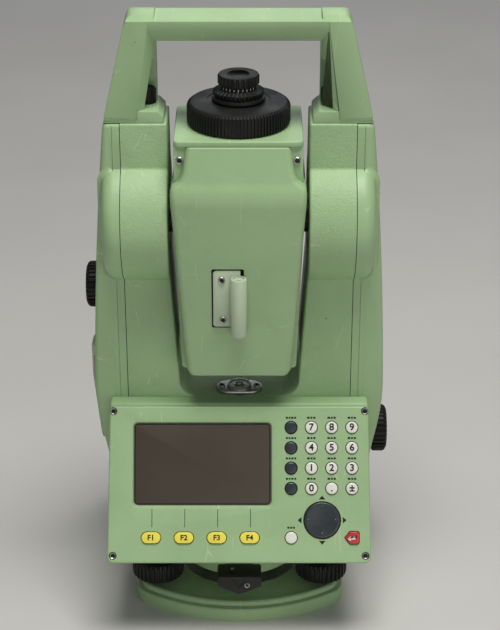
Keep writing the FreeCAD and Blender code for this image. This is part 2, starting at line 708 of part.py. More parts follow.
def side_trim(body, low_half):
    """Cuts the telescope's tapering flanks."""
    for side in (1, -1):
        trim = new_sketch(body, "XZ_Plane")
        half = [(low_half, "tele_low - 1"), ("tele_wide", "tele_wide_height"),
                ("tele_neck", "tele_neck_height"), ("tele_neck", "block_high + 1"),
                (50, "block_high + 1"), (50, "tele_low - 1")]
        polygon(trim, [("%d * (%s)" % (side, x), z) for x, z in half])
        extrude(body, trim, 200, "Pocket", both=True)


def telescope():
    body = new_body("telescope_housing")
    profile = new_sketch(body, "YZ_Plane")
    polygon(profile, [
        ("-tele_split", "tele_low"), ("-tele_split", "block_low"), (-31, "block_low"),
        (-31, "block_high"), (29, "block_high"), (29, "block_low + 2"),
        ("tele_back", "tele_neck_height"), ("tele_back - 2", "tele_low")])
    extrude(body, profile, "2 * tele_wide", both=True)
    side_trim(body, "tele_low_half")
    tube = new_sketch(body, "XY_Plane", "block_high")
    circle(tube, 0, 0, "eye_tube")
    extrude(body, tube, "ring_high - block_high")
    turn(body, [
        (0, "tele_low"), ("objective", "tele_low"), ("objective", "barrel_low"),
        ("barrel", "barrel_low"), ("barrel", "barrel_high"), ("eye_bore", "barrel_high"),
        ("eye_bore", "ring_high"), (0, "ring_high")], "Groove")
    axle_seat = new_sketch(body, "YZ_Plane", 30)
    circle(axle_seat, 0, "tilt_height", "axle")
    extrude(body, axle_seat, 20, "Pocket", backwards=True)
    axle_seat = new_sketch(body, "YZ_Plane", -30)
    circle(axle_seat, 0, "tilt_height", "axle")
    extrude(body, axle_seat, 20, "Pocket")

    cover = new_body("telescope_front_cover")
    profile = new_sketch(cover, "YZ_Plane")
    polygon(profile, [
        ("-(tele_split + 0.1)", "tele_low"), ("-tele_low_front", "tele_low"),
        ("-tele_front", "tele_wide_height"), (-31.5, "block_low - 0.3"),
        ("-(tele_split + 0.1)", "block_low - 0.3")])
    extrude(cover, profile, "2 * tele_wide", both=True)
    side_trim(cover, "tele_cover_low_half")
    hollow = new_sketch(cover, "XZ_Plane", "tele_split")
    polygon(hollow, [
        ("-tele_cover_low_half + 4", "tele_low + 4"), ("tele_cover_low_half - 4", "tele_low + 4"),
        ("tele_wide - 4", "tele_wide_height"), ("tele_neck - 6", "tele_neck_height + 4"),
        ("-tele_neck + 6", "tele_neck_height + 4"), ("-tele_wide + 4", "tele_wide_height")])
    extrude(cover, hollow, "tele_low_front - 4 - tele_split", "Pocket", backwards=True)
    sight_seat = new_sketch(cover, "XZ_Plane", "tele_front + 5")
    box_outline(sight_seat, "sight_plate_left - 0.7", 5.4, "sight_low - 1.5", "sight_high + 1.3")
    extrude(cover, sight_seat, "tele_front + 5 - sight_bed", "Pocket")


def telescope_screws():
    solids = [cylinder(2.5, 1.2, x, -31.05, 289.5, (1, 0, 0), 90) for x in (-30.5, 30.5)]
    group("telescope_screws", solids)


def optics():
    named("objective_lens", cylinder("objective - 0.1", 6, 0, 0, "tele_low + 2"))
    turned("focusing_lens", [
        (0, 262), ("barrel - 0.08", 262), ("barrel - 0.08", 274), (0, 274)])
    turned("focus_ring", [
        ("eye_tube + running_gap", "block_high + 0.3"), ("ring_radius - 1", "block_high + 0.3"),
        ("ring_radius", "block_high + 1.3"), ("ring_radius", "ring_high - 2.5"),
        ("ring_radius - 3.5", "ring_high"), ("eye_tube + running_gap", "ring_high")])
    turned("eyepiece_ring", [
        (3.5, 300), (7.95, 300), (7.95, "ring_high + 0.3"), (14.2, "ring_high + 0.3"),
        (14.2, "ring_high + 5"), (9.5, "ring_high + 6.5"), (9.5, "ring_high + 8.4"),
        (11.5, "ring_high + 8.8"), (11.5, "eyepiece_high - 0.8"), (10.7, "eyepiece_high"),
        (3.5, "eyepiece_high")])
    tube = cylinder(4.6, "sight_high - 3 - sight_low", 0, -40.6, "sight_low")
    bore = cylinder(3, 14, 0, -40.6, "sight_high - 14")
    plate = block(("sight_plate_left", 0), (-36.6, -34.6), ("sight_low + 4", "sight_high"))
    named("optical_sights", cut(boolean("MultiFuse", [tube, plate]), [bore]))


def tilting_axis():
    right = along_x("axle", 30, 62, 0, "tilt_height")
    left = [along_x("axle", -62, -30, 0, "tilt_height"),
            along_x("tilt_gear", -58, -52, 0, "tilt_height")]
    group("trunnion_axles", [right, boolean("MultiFuse", left)])
    disc = along_x("circle_radius", 54, 56.5, 0, "tilt_height")
    hole = along_x("axle", 53, 58, 0, "tilt_height")
    named("vertical_circle", cut(disc, [hole]))


# ---- carrying handle and battery -------------------------------------------------------------

def carrying_handle():
    body = new_body("carrying_handle")
    outline = new_sketch(body, "XZ_Plane", "-handle_back")
    right_side = [
        ("handle_foot", "handle_low"), ("handle_shoulder", "handle_high - 8"),
        ("handle_shoulder - 7", "handle_high")]
    inner_right = [
        ("grip_half - 4", "grip_high"), ("grip_half", "grip_high - 4"), ("grip_half", "shelf + 4"),
        ("foot_inner", "shelf"), ("foot_inner", "handle_low")]
    outer_left = [("-(%s)" % x, z) for x, z in reversed(right_side)]
    inner_left = [("-(%s)" % x, z) for x, z in reversed(inner_right)]
    polygon(outline, right_side + outer_left + inner_left + inner_right)
    extrude(body, outline, "handle_front + handle_back")
    crown = new_sketch(body, "YZ_Plane")
    polygon(crown, [(-16, 356.6), ("-handle_front", 356.6), (-9, 359), (-1, "handle_high"), (7, 358.6),
                    ("handle_back", 352.5), (14, 352.5), (14, 361), (-16, 361)])
    extrude(body, crown, 200, "Pocket", both=True)
    palm = new_sketch(body, "YZ_Plane")
    polygon(palm, [(-16, 355.6), ("-handle_front", 355.6), (-14.2, 352), (-12.6, 348.8), (-10, 345.8),
                   (-6.5, "grip_high + 0.6"), (-2, "grip_high - 1"), (-16, "grip_high - 1")])
    extrude(body, palm, "2 * grip_half", "Pocket", both=True)
    bevels = new_sketch(body, "XY_Plane", "shelf")
    for side in (1, -1):
        corner = [("grip_half + leg_chamfer", "-handle_front - 1"),
                  ("grip_half + leg_chamfer", "-handle_front"),
                  ("grip_half", "-handle_front + leg_chamfer"), ("grip_half - 1", "-handle_front + leg_chamfer"),
                  ("grip_half - 1", "-handle_front - 1")]
        polygon(bevels, [("%d * (%s)" % (side, x), y) for x, y in corner])
    extrude(body, bevels, "grip_high + 4 - shelf", "Pocket", backwards=True)
    for side, backwards in ((1, True), (-1, False)):
        slot = new_sketch(body, "YZ_Plane", "%d * (foot_inner - 1)" % side)
        box_outline(slot, -6, 6, "shelf", "shelf + 12")
        extrude(body, slot, "thumb_screw + 6.5 - foot_inner", "Pocket", backwards=backwards)
    holes = new_sketch(body, "XY_Plane", "shelf + 1")
    for side in (1, -1):
        circle(holes, "%d * thumb_screw" % side, 0, "2 + running_gap")
    extrude(body, holes, 10, "Pocket")


def handle_screws():
    for name, side in (("handle_screw_left", -1), ("handle_screw_right", 1)):
        turned(name, [
            (0, "standard_top - 9"), (2, "standard_top - 9"), (2, "shelf + 0.5"),
            ("thumb_radius", "shelf + 0.5"), ("thumb_radius", "shelf + 9.5"), (0, "shelf + 9.5")],
            placed("%d * thumb_screw" % side, 0, 0))


def battery_holder():
    """Drawer with its battery; the whole of it pulls out to the left."""
    face = block(("-drawer_out", -79), ("drawer_near", "drawer_far"), ("drawer_low", "drawer_high"))
    cell = block((-79, -50), ("drawer_near + 1", "drawer_far - 1"), ("drawer_low + 1", "drawer_high - 1"))
    group("battery_holder", [face, cell])


BUILDERS = (
    base_plate, spring_plate, foot_screws, tribrach_body, lock_key, standing_axis, alidade_frame,
    side_covers, rear_housing, keyboard_housing, keyboard_panel, display_module, keys,
    circuit_boards, case_screws, circular_level, bearings, drives, telescope, telescope_screws,
    optics, tilting_axis, carrying_handle, handle_screws, battery_holder)


def check_document():
    for item in doc.Objects:
        if "Invalid" in item.State or "Error" in item.State:
            raise RuntimeError("%s did not compute: %s" % (item.Label, item.State))
    for part in PARTS:
        if part.Shape.isNull() or not part.Shape.isValid():
            raise RuntimeError("%s has no valid shape" % part.Label)


def write_steps():
    os.makedirs("parts", exist_ok=True)
    for old in os.listdir("parts"):
        os.remove(os.path.join("parts", old))
    for part in PARTS:
        part.Shape.exportStep("parts/%s.step" % part.Label)
        print("%-24s solids %d  volume %.1f cm3" % (
            part.Label, len(part.Shape.Solids), part.Shape.Volume / 1000))
    print("%d nodes" % len(PARTS))


for build in BUILDERS:
    build()
    doc.recompute()
check_document()
write_steps()
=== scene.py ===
import math

import bmesh
import bpy
from mathutils import Matrix, Vector


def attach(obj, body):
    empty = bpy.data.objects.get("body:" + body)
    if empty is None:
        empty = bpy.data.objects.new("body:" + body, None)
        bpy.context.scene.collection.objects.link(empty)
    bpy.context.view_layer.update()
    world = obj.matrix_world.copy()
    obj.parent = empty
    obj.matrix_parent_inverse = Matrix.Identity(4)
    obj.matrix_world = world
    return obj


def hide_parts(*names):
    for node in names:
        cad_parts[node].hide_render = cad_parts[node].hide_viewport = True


# A surveying total station, seen from the user's side. Shapes are drawn in millimetres and
# scaled to metres: X to the right along the tilting axis, Y away from the user, Z up.

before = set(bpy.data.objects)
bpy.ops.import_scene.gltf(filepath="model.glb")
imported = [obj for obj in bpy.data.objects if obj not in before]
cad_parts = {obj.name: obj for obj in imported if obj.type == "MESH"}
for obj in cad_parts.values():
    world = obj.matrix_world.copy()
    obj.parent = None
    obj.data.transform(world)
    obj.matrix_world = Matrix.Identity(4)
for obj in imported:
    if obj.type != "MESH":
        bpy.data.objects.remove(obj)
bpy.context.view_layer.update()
scene = bpy.context.scene

MM = 0.001
TILT = 240.0
SEAM = 65.0
FRONT = -16.0
BACK = 38.0
BACK_BEND = 200.0
TOP = 299.7
FLOOR = 131.0
BOSS = 37.0
COVER_LOW = 60.5
LEFT_KNOB = (14, 190)       # Y and Z of the tangent knobs' axes
RIGHT_KNOB = (24.7, 87)


# ---- materials -------------------------------------------------------------------------------

def shader(name, **sockets):
    """A material with a Principled shader; the sockets are set directly."""
    made = bpy.data.materials.new(name)
    made.use_nodes = True
    principled = made.node_tree.nodes["Principled BSDF"]
    for socket, number in sockets.items():
        principled.inputs[socket.replace("_", " ")].default_value = number
    return made, made.node_tree, principled


def add(tree, kind, inputs=None, **settings):
    """A node with its settings, its numbers set and its links made."""
    node = tree.nodes.new("ShaderNode" + kind)
    for key, setting in settings.items():
        setattr(node, key, setting)
    for key, source in (inputs or {}).items():
        if isinstance(source, bpy.types.NodeSocket):
            tree.links.new(source, node.inputs[key])
        else:
            node.inputs[key].default_value = source
    return node


def drive(principled, socket, source):
    """Links a value or colour to a socket of the shader."""
    principled.id_data.links.new(source, principled.inputs[socket])


def rgba(color, share=1.0):
    return [part * share for part in color] + [1.0]


def position(tree):
    return add(tree, "TexCoord").outputs["Object"]


def noise(tree, place, scale, detail=4.0, roughness=0.55, distortion=0.0):
    made = add(tree, "TexNoise", {"Vector": place, "Scale": scale, "Detail": detail,
                                  "Roughness": roughness, "Distortion": distortion})
    return made.outputs["Fac"]


def remap(tree, value, low, high, to_low=0.0, to_high=1.0):
    made = add(tree, "MapRange", {"Value": value, "From Min": low, "From Max": high,
                                  "To Min": to_low, "To Max": to_high})
    return made.outputs["Result"]


def mix(tree, factor, first, second):
    made = add(tree, "Mix", data_type="RGBA")
    for index, source in ((0, factor), (6, first), (7, second)):
        if isinstance(source, bpy.types.NodeSocket):
            tree.links.new(source, made.inputs[index])
        else:
            made.inputs[index].default_value = source
    return made.outputs[2]


def math_node(tree, operation, first, second=0.0):
    made = add(tree, "Math", {0: first, 1: second}, operation=operation)
    return made.outputs[0]


def stretched(tree, place, scale):
    made = add(tree, "Mapping", {"Vector": place, "Scale": scale})
    return made.outputs["Vector"]


def bump(tree, principled, height, distance, strength=1.0):
    made = add(tree, "Bump", {"Height": height, "Distance": distance, "Strength": strength})
    drive(principled, "Normal", made.outputs["Normal"])


def scratches(tree, place, scale, angle, threshold=0.012):
    """Thin, broken lines that run mostly one way."""
    turned = add(tree, "Mapping", {"Vector": place, "Rotation": (angle, angle * 0.7, angle * 1.3),
                                   "Scale": (1.0, 0.06, 0.35)}).outputs["Vector"]
    cells = add(tree, "TexVoronoi", {"Vector": turned, "Scale": scale, "Randomness": 1.0},
                feature="DISTANCE_TO_EDGE").outputs["Distance"]
    line = remap(tree, cells, 0.0, threshold, 1.0, 0.0)
    broken = remap(tree, noise(tree, place, 60.0, 2.0), 0.56, 0.64)
    return math_node(tree, "MULTIPLY", line, broken)


def green_paint(name, color, grain, grain_size, roughness):
    """Sage enamel: sprayed grain, faint colour drift, handling grime, fine scratches, small chips."""
    made, tree, principled = shader(name, Roughness=roughness, Specular_IOR_Level=0.45)
    place = position(tree)
    drift = remap(tree, noise(tree, place, 14.0, 3.0), 0.35, 0.7)
    pale = rgba(color, 1.07)
    deep = rgba(color, 0.93)
    tone = mix(tree, drift, deep, pale)
    smudge = remap(tree, noise(tree, place, 38.0, 6.0, 0.7, 0.4), 0.52, 0.78, 0.0, 0.35)
    tone = mix(tree, smudge, tone, (color[0] * 0.72, color[1] * 0.70, color[2] * 0.66, 1.0))
    marks = scratches(tree, place, 55.0, 0.6)
    tone = mix(tree, math_node(tree, "MULTIPLY", marks, 0.35), tone, (0.72, 0.78, 0.62, 1.0))
    chips = remap(tree, noise(tree, place, 210.0, 2.0, 0.4), 0.785, 0.80)
    tone = mix(tree, math_node(tree, "MULTIPLY", chips, 0.6), tone, (0.16, 0.18, 0.13, 1.0))
    drive(principled, "Base Color", tone)
    gloss = remap(tree, noise(tree, place, 22.0, 5.0, 0.65), 0.3, 0.75, roughness - 0.07, roughness + 0.11)
    drive(principled, "Roughness", gloss)
    fine = noise(tree, place, grain_size, 2.0, 0.5)
    peel = noise(tree, place, grain_size * 0.28, 2.0, 0.5)
    height = math_node(tree, "ADD", math_node(tree, "MULTIPLY", fine, 0.7),
                       math_node(tree, "MULTIPLY", peel, 0.3))
    bump(tree, principled, height, grain)
    return made


def black_plastic(name, tone=0.007, roughness=0.46, grain=0.00006):
    """Moulded black plastic or rubber with dust in its grain and rubbed high spots."""
    made, tree, principled = shader(name, Roughness=roughness, Specular_IOR_Level=0.3)
    place = position(tree)
    dust = remap(tree, noise(tree, place, 60.0, 6.0, 0.7), 0.5, 0.85, 0.0, 0.35)
    base = mix(tree, dust, (tone, tone * 1.02, tone * 1.05, 1.0), (0.045, 0.045, 0.042, 1.0))
    marks = scratches(tree, place, 90.0, 1.1)
    base = mix(tree, math_node(tree, "MULTIPLY", marks, 0.25), base, (0.12, 0.12, 0.12, 1.0))
    drive(principled, "Base Color", base)
    gloss = remap(tree, noise(tree, place, 80.0, 4.0), 0.3, 0.75, roughness - 0.08, roughness + 0.15)
    drive(principled, "Roughness", gloss)
    bump(tree, principled, noise(tree, place, 1500.0, 2.0), grain)
    return made


def metal(name, color, roughness, brushed=(1.0, 1.0, 0.04)):
    """Machined metal with fine tool lines and a little tarnish."""
    made, tree, principled = shader(name, Metallic=1.0, Roughness=roughness)
    place = position(tree)
    lines = noise(tree, stretched(tree, place, brushed), 900.0, 3.0)
    stain = remap(tree, noise(tree, place, 45.0, 5.0), 0.4, 0.8)
    drive(principled, "Base Color", mix(tree, stain, rgba(color), rgba(color, 0.7)))
    drive(principled, "Roughness", remap(tree, lines, 0.3, 0.7, roughness - 0.06, roughness + 0.1))
    bump(tree, principled, lines, 0.00003)
    return made


def key_plastic(name, color, roughness=0.32):
    """Glossy key cap, slightly worn and greyed by fingers."""
    made, tree, principled = shader(name, Roughness=roughness, Coat_Weight=0.25, Coat_Roughness=0.2)
    place = position(tree)
    worn = remap(tree, noise(tree, place, 170.0, 5.0, 0.65), 0.42, 0.8, 0.0, 0.4)
    drive(principled, "Base Color", mix(tree, worn, rgba(color), rgba(color, 0.72)))
    drive(principled, "Roughness", remap(tree, noise(tree, place, 260.0, 3.0), 0.3, 0.7, roughness - 0.08,
                                         roughness + 0.12))
    bump(tree, principled, noise(tree, place, 1200.0, 2.0), 0.00003)
    return made


def display_glass(name):
    """Unlit liquid-crystal panel behind a clear window: brown-grey, faintly uneven, lightly smeared."""
    made, tree, principled = shader(name, Roughness=0.42, Specular_IOR_Level=0.35)
    place = position(tree)
    shade = remap(tree, noise(tree, place, 9.0, 2.0), 0.3, 0.7)
    base = mix(tree, shade, (0.060, 0.046, 0.034, 1.0), (0.080, 0.063, 0.047, 1.0))
    rows = add(tree, "TexWave", {"Vector": place, "Scale": 420.0}, wave_type="BANDS", bands_direction="X")
    base = mix(tree, math_node(tree, "MULTIPLY", rows.outputs["Fac"], 0.10), base, (0.045, 0.036, 0.028, 1.0))
    drive(principled, "Base Color", base)
    smear = remap(tree, noise(tree, place, 40.0, 6.0, 0.7), 0.45, 0.8, 0.38, 0.55)
    drive(principled, "Roughness", smear)
    return made


def lens_glass(name, tint):
    """Coated optical glass with a little dust."""
    made, tree, principled = shader(name, Roughness=0.04, Coat_Weight=1.0, Specular_IOR_Level=0.8)
    place = position(tree)
    dust = remap(tree, noise(tree, place, 300.0, 5.0), 0.6, 0.8, 0.0, 0.2)
    drive(principled, "Base Color", mix(tree, dust, rgba(tint), (0.25, 0.25, 0.24, 1.0)))
    return made


SAGE = (0.325, 0.480, 0.255)
PAINT_CAST = green_paint("paint_cast", SAGE, 0.00042, 950.0, 0.46)
PAINT_SMOOTH = green_paint("paint_smooth", SAGE, 0.00008, 1500.0, 0.40)
PAINT_PANEL = green_paint("paint_panel", SAGE, 0.00012, 1700.0, 0.42)
PAINT_SIGHT = green_paint("paint_sight", (0.46, 0.56, 0.40), 0.00004, 1500.0, 0.34)
BLACK = black_plastic("black_knob")
BLACK_METAL = black_plastic("black_metal", 0.016, 0.34, 0.00004)
# Black rubber for seals and key flanges; on the key flanges it also stands in for painted shade in the gaps
# round the caps.
GASKET = black_plastic("gasket", 0.006, 0.7, 0.0001)
STEEL = metal("machined_steel", (0.56, 0.56, 0.56), 0.32)
BRASS = metal("brass", (0.60, 0.44, 0.20), 0.30)
PRINT_BLACK = black_plastic("print_black", 0.010, 0.5, 0.00002)
PRINT_WHITE = key_plastic("print_white", (0.80, 0.80, 0.78), 0.5)
DISPLAY = display_glass("display_window")
KEY_WHITE = key_plastic("key_white", (0.76, 0.76, 0.70))
KEY_DARK = key_plastic("key_dark", (0.022, 0.030, 0.036), 0.36)
KEY_YELLOW = key_plastic("key_yellow", (0.88, 0.76, 0.09))
KEY_RED = key_plastic("key_red", (0.52, 0.035, 0.030))
NAMEPLATE = key_plastic("blank_nameplate", (0.10, 0.11, 0.10), 0.4)
LENS = lens_glass("lens", (0.03, 0.04, 0.06))
CLEAR = lens_glass("level_window", (0.30, 0.36, 0.26))
BOARD = key_plastic("board", (0.02, 0.12, 0.05), 0.45)


# ---- mesh making -----------------------------------------------------------------------------

AXES = {  # outline's first and second coordinate, then the direction of the extrusion
    "XZ": Matrix(((1, 0, 0), (0, 0, 1), (0, 1, 0))),
    "YZ": Matrix(((0, 0, 1), (1, 0, 0), (0, 1, 0))),
    "XY": Matrix(((1, 0, 0), (0, 1, 0), (0, 0, 1))),
}


def fillet(points, steps=6):
    """Outline from (x, y) or (x, y, radius) corners, with each radius drawn as an arc."""
    outline = []
    count = len(points)
    for index, corner in enumerate(points):
        here = Vector(corner[:2])
        radius = corner[2] if len(corner) > 2 else 0.0
        if radius <= 0.0:
            outline.append(here)
            continue
        before = (Vector(points[index - 1][:2]) - here).normalized()
        after = (Vector(points[(index + 1) % count][:2]) - here).normalized()
        half = math.acos(max(-1.0, min(1.0, before.dot(after)))) / 2
        reach = radius / math.tan(half)
        centre = here + (before + after).normalized() * (radius / math.sin(half))
        start = here + before * reach - centre
        end = here + after * reach - centre
        turn = math.atan2(start.x * end.y - start.y * end.x, start.dot(end))
        for step in range(steps + 1):
            outline.append(centre + Matrix.Rotation(turn * step / steps, 2) @ start)
    return outline


def to_object(bm, name):
    bmesh.ops.remove_doubles(bm, verts=bm.verts, dist=1e-7)
    bmesh.ops.recalc_face_normals(bm, faces=bm.faces)
    mesh = bpy.data.meshes.new(name)
    bm.to_mesh(mesh)
    bm.free()
    made = bpy.data.objects.new(name, mesh)
    scene.collection.objects.link(made)
    return made


def prism(name, points, low, high, plane="XZ", steps=6):
    """Outline in millimetres, extruded from low to high along the third axis."""
    bm = bmesh.new()
    turn = AXES[plane]
    outline = fillet(points, steps)
    rings = [[bm.verts.new(turn @ Vector((p.x, p.y, level)) * MM) for p in outline] for level in (low, high)]
    bm.faces.new(rings[0])
    bm.faces.new(rings[1])
    for index in range(len(outline)):
        following = (index + 1) % len(outline)
        bm.faces.new((rings[0][index], rings[0][following], rings[1][following], rings[1][index]))
    return to_object(bm, name)


def lathe(name, profile, segments=96, ribs=0, depth=0.0, ribbed=(), share=0.5):
    """Turns (radius, height) points about Z. The ribbed points sink between evenly spaced ribs."""
    bm = bmesh.new()
    rings = []
    for index, (radius, height) in enumerate(profile):
        if radius < 1e-6:
            rings.append([bm.verts.new((0, 0, height * MM))])
            continue
        ring = []
        for step in range(segments):
            angle = 2 * math.pi * step / segments
            sunk = 0.0
            if ribs and index in ribbed:
                phase = (angle * ribs / (2 * math.pi)) % 1.0
                edge = min(phase, share - phase) if phase < share else 0.0
                sunk = depth * (1.0 if phase >= share else max(0.0, 1.0 - edge / 0.14))
            r = (radius - sunk) * MM
            ring.append(bm.verts.new((r * math.cos(angle), r * math.sin(angle), height * MM)))
        rings.append(ring)
    for below, above in zip(rings, rings[1:]):
        for step in range(segments):
            following = (step + 1) % segments
            if len(below) == 1 and len(above) == 1:
                continue
            if len(below) == 1:
                bm.faces.new((below[0], above[following], above[step]))
            elif len(above) == 1:
                bm.faces.new((below[step], below[following], above[0]))
            else:
                bm.faces.new((below[step], below[following], above[following], above[step]))
    for ring, ends in ((rings[0], profile[0]), (rings[-1], profile[-1])):
        if len(ring) > 1 and ends[0] > 1e-6 and profile[0] != profile[-1]:
            bm.faces.new(ring)
    return to_object(bm, name)


def cylinder(name, radius, low, high, segments=96):
    return lathe(name, [(0, low), (radius, low), (radius, high), (0, high)], segments)


def place(piece, x=0.0, y=0.0, z=0.0, turn=None):
    """Bakes a turn and then a move, in millimetres, into the mesh."""
    if turn is not None:
        piece.data.transform(turn.to_4x4())
    piece.data.transform(Matrix.Translation(Vector((x, y, z)) * MM))
    return piece


def apply_modifiers(piece):
    graph = bpy.context.evaluated_depsgraph_get()
    mesh = bpy.data.meshes.new_from_object(piece.evaluated_get(graph))
    piece.modifiers.clear()
    old = piece.data
    piece.data = mesh
    bpy.data.meshes.remove(old)
    return piece


def combine(piece, tool, operation):
    """Exact boolean with a tool that is then deleted."""
    modifier = piece.modifiers.new("boolean", "BOOLEAN")
    modifier.operation = operation
    modifier.solver = "EXACT"
    modifier.object = tool
    bpy.context.view_layer.update()
    apply_modifiers(piece)
    bpy.data.objects.remove(tool)
    return piece


def cut(piece, tool):
    return combine(piece, tool, "DIFFERENCE")


def fuse(piece, tool):
    return combine(piece, tool, "UNION")


def span(side, near, far):
    """Two X levels on one side of the middle plane, the lower one first."""
    return sorted((side * near, side * far))


def join(name, pieces):
    """One object from several, keeping their materials."""
    bm = bmesh.new()
    materials = []
    for piece in pieces:
        offset = len(materials)
        materials.extend(list(piece.data.materials) or [None])
        for polygon in piece.data.polygons:
            polygon.material_index += offset
        bm.from_mesh(piece.data)
    for piece in pieces:
        bpy.data.objects.remove(piece)
    mesh = bpy.data.meshes.new(name)
    bm.to_mesh(mesh)
    bm.free()
    for material in materials:
        mesh.materials.append(material)
    made = bpy.data.objects.new(name, mesh)
    scene.collection.objects.link(made)
    return made


def paint(piece, material, smooth=35.0):
    piece.data.materials.clear()
    piece.data.materials.append(material)
    return shade(piece, smooth)


def shade(piece, smooth=35.0):
    piece.data.polygons.foreach_set("use_smooth", [True] * len(piece.data.polygons))
    piece.data.set_sharp_from_angle(angle=math.radians(smooth))
    return piece


def fit(piece, body, slot, *nodes):
    """The piece rides on its body and stands for the nodes."""
    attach(piece, body)
    if nodes:
        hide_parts(*nodes)
    return piece


ABOUT_Y = Matrix.Rotation(math.radians(90), 3, "Y")     # +Z to +X
TO_FRONT = Matrix.Rotation(math.radians(90), 3, "X")    # +Z to -Y
PANEL_TURN = Matrix.Rotation(math.radians(60), 3, "X")
PANEL_ORIGIN = Vector((0, -28, 131))


def on_panel(piece):
    """Moves a piece drawn on the flat panel (u, v, w) to the sloping one."""
    piece.data.transform(PANEL_TURN.to_4x4())
    piece.data.transform(Matrix.Translation(PANEL_ORIGIN * MM))
    return piece


def side_outline(inset=0.0, low=50.5):
    return [(FRONT + inset, low), (FRONT + inset, TOP - inset, 0.0), (-FRONT - inset, TOP - inset, 0.0),
            (BACK - inset, BACK_BEND - inset, 60.0), (BACK - inset, low)]


def bevel_edges(piece, width, segments=3, angle=30.0, where=None, merge=0.12):
    """Rounds sharp edges, in millimetres; where picks them by both ends' places."""
    bm = bmesh.new()
    bm.from_mesh(piece.data)
    bmesh.ops.remove_doubles(bm, verts=bm.verts, dist=merge * MM)
    bmesh.ops.dissolve_degenerate(bm, edges=bm.edges, dist=0.01 * MM)
    bmesh.ops.dissolve_limit(bm, angle_limit=math.radians(0.4), verts=bm.verts, edges=bm.edges)
    limit = math.radians(angle)
    chosen = []
    for edge in bm.edges:
        if len(edge.link_faces) != 2 or edge.calc_face_angle(0.0) < limit:
            continue
        if where is None or where(edge.verts[0].co / MM, edge.verts[1].co / MM):
            chosen.append(edge)
    bmesh.ops.bevel(bm, geom=chosen, offset=width * MM, offset_type="OFFSET", segments=segments,
                    profile=0.5, affect="EDGES", clamp_overlap=False)
    bmesh.ops.recalc_face_normals(bm, faces=bm.faces)
    bm.to_mesh(piece.data)
    bm.free()
    return piece


def rectangle(left, low, right, high, radius=0.0):
    return [(left, low, radius), (right, low, radius), (right, high, radius), (left, high, radius)]


def round_points(x, y, radius, count=48):
    return [(x + radius * math.cos(2 * math.pi * step / count),
             y + radius * math.sin(2 * math.pi * step / count)) for step in range(count)]


def bar_points(x, y, length, width, round_share=1.0):
    """A bar outline with rounded ends."""
    radius = width / 2 * round_share
    half_long, half_wide = length / 2, width / 2
    return [(x - half_long, y - half_wide, radius), (x + half_long, y - half_wide, radius),
            (x + half_long, y + half_wide, radius), (x - half_long, y + half_wide, radius)]


def letters(text, size, material, depth=0.08, weight=0.025):
    """Printed characters, centred on the origin and facing +Z."""
    curve = bpy.data.curves.new("letters", "FONT")
    curve.body = text
    curve.size = size * MM
    curve.align_x = "CENTER"
    curve.align_y = "CENTER"
    curve.extrude = depth / 2 * MM
    curve.offset = weight * size * MM
    holder = bpy.data.objects.new("letters", curve)
    scene.collection.objects.link(holder)
    bpy.context.view_layer.update()
    mesh = bpy.data.meshes.new_from_object(holder.evaluated_get(bpy.context.evaluated_depsgraph_get()))
    bpy.data.objects.remove(holder)
    made = bpy.data.objects.new("letters", mesh)
    scene.collection.objects.link(made)
    return paint(made, material)


def screw_head(name, radius, depth, socket=6):
    """Blackened socket-head screw with a rubbed bright rim, its seat at z 0 and its top at depth."""
    head = cylinder(name, radius * 0.68, 0, depth * 0.55, 32)
    tool = prism("socket_tool", round_points(0, 0, radius * 0.42, socket), depth * 0.15, depth + 1, "XY")
    cut(head, tool)
    rim = lathe("rim", [(radius * 0.66, 0), (radius, 0), (radius, depth * 0.75), (radius * 0.86, depth),
                        (radius * 0.66, depth * 0.8), (radius * 0.66, 0)], 32)
    return join(name, [paint(head, BLACK_METAL), paint(rim, STEEL)])


def along(table, height):
    """Straight-line reading of a table of (height, size) rows."""
    for (low, first), (high, last) in zip(table, table[1:]):
        if height <= high:
            return between(first, last, (height - low) / (high - low))
    return table[-1][1]


def loft(name, rings):
    """Joins rings of (x, y, z) points, in millimetres, into one closed skin."""
    bm = bmesh.new()
    made = [[bm.verts.new(Vector(point) * MM) for point in ring] for ring in rings]
    bm.faces.new(made[0])
    bm.faces.new(made[-1])
    for below, above in zip(made, made[1:]):
        for index in range(len(below)):
            following = (index + 1) % len(below)
            bm.faces.new((below[index], below[following], above[following], above[index]))
    return to_object(bm, name)


def between(low, high, share):
    return low + (high - low) * share


# ---- standards -------------------------------------------------------------------------------

def alidade_casting():
    casting = prism("alidade_casting", side_outline(), -64.8, 64.8, "YZ", 8)
    boss = prism("boss_tool", round_points(0, TILT, BOSS, 120), -64.8, 64.8, "YZ")
    fuse(casting, boss)
    fuse(casting, prism("seat_tool", round_points(0, 0, 45, 90), 50.5, 72, "XY"))
    gap = [(-39, 320), (-39, 210), (-34, FLOOR, 10), (34, FLOOR, 10), (39, 210), (39, 320)]
    cut(casting, prism("gap_tool", gap, -120, 120, "XZ", 8))
    bevel_edges(casting, 1.3, 3, 34, lambda a, b: abs(a.x) < 64.5 or abs(b.x) < 64.5)
    for side in (1, -1):
        cut(casting, prism("cavity_tool", side_outline(4, 66), *span(side, 47, 66), "YZ", 3))
        cut(casting, prism("drum_tool", round_points(0, TILT, 34, 96), *span(side, 51, 66.5), "YZ"))
        cut(casting, prism("bore_tool", round_points(0, TILT, 16, 64), *span(side, 30, 52), "YZ"))
    well = lathe("well_tool", [(0, 49), (33, 49), (33, 68), (10.05, 68), (10.05, 81.5), (16, 81.5),
                               (16, 92.5), (0, 92.5)], 88)
    cut(casting, well)
    worm = prism("worm_tool", round_points(*RIGHT_KNOB, 10.4, 48), -14, 50, "YZ")
    cut(casting, worm)
    vial = prism("vial_tool", round_points(0, -7, 8, 48), FLOOR - 6, FLOOR + 2, "XY")
    cut(casting, vial)
    paint(casting, PAINT_CAST, 32)
    fit(casting, "alidade", "green_paint", "alidade_frame")


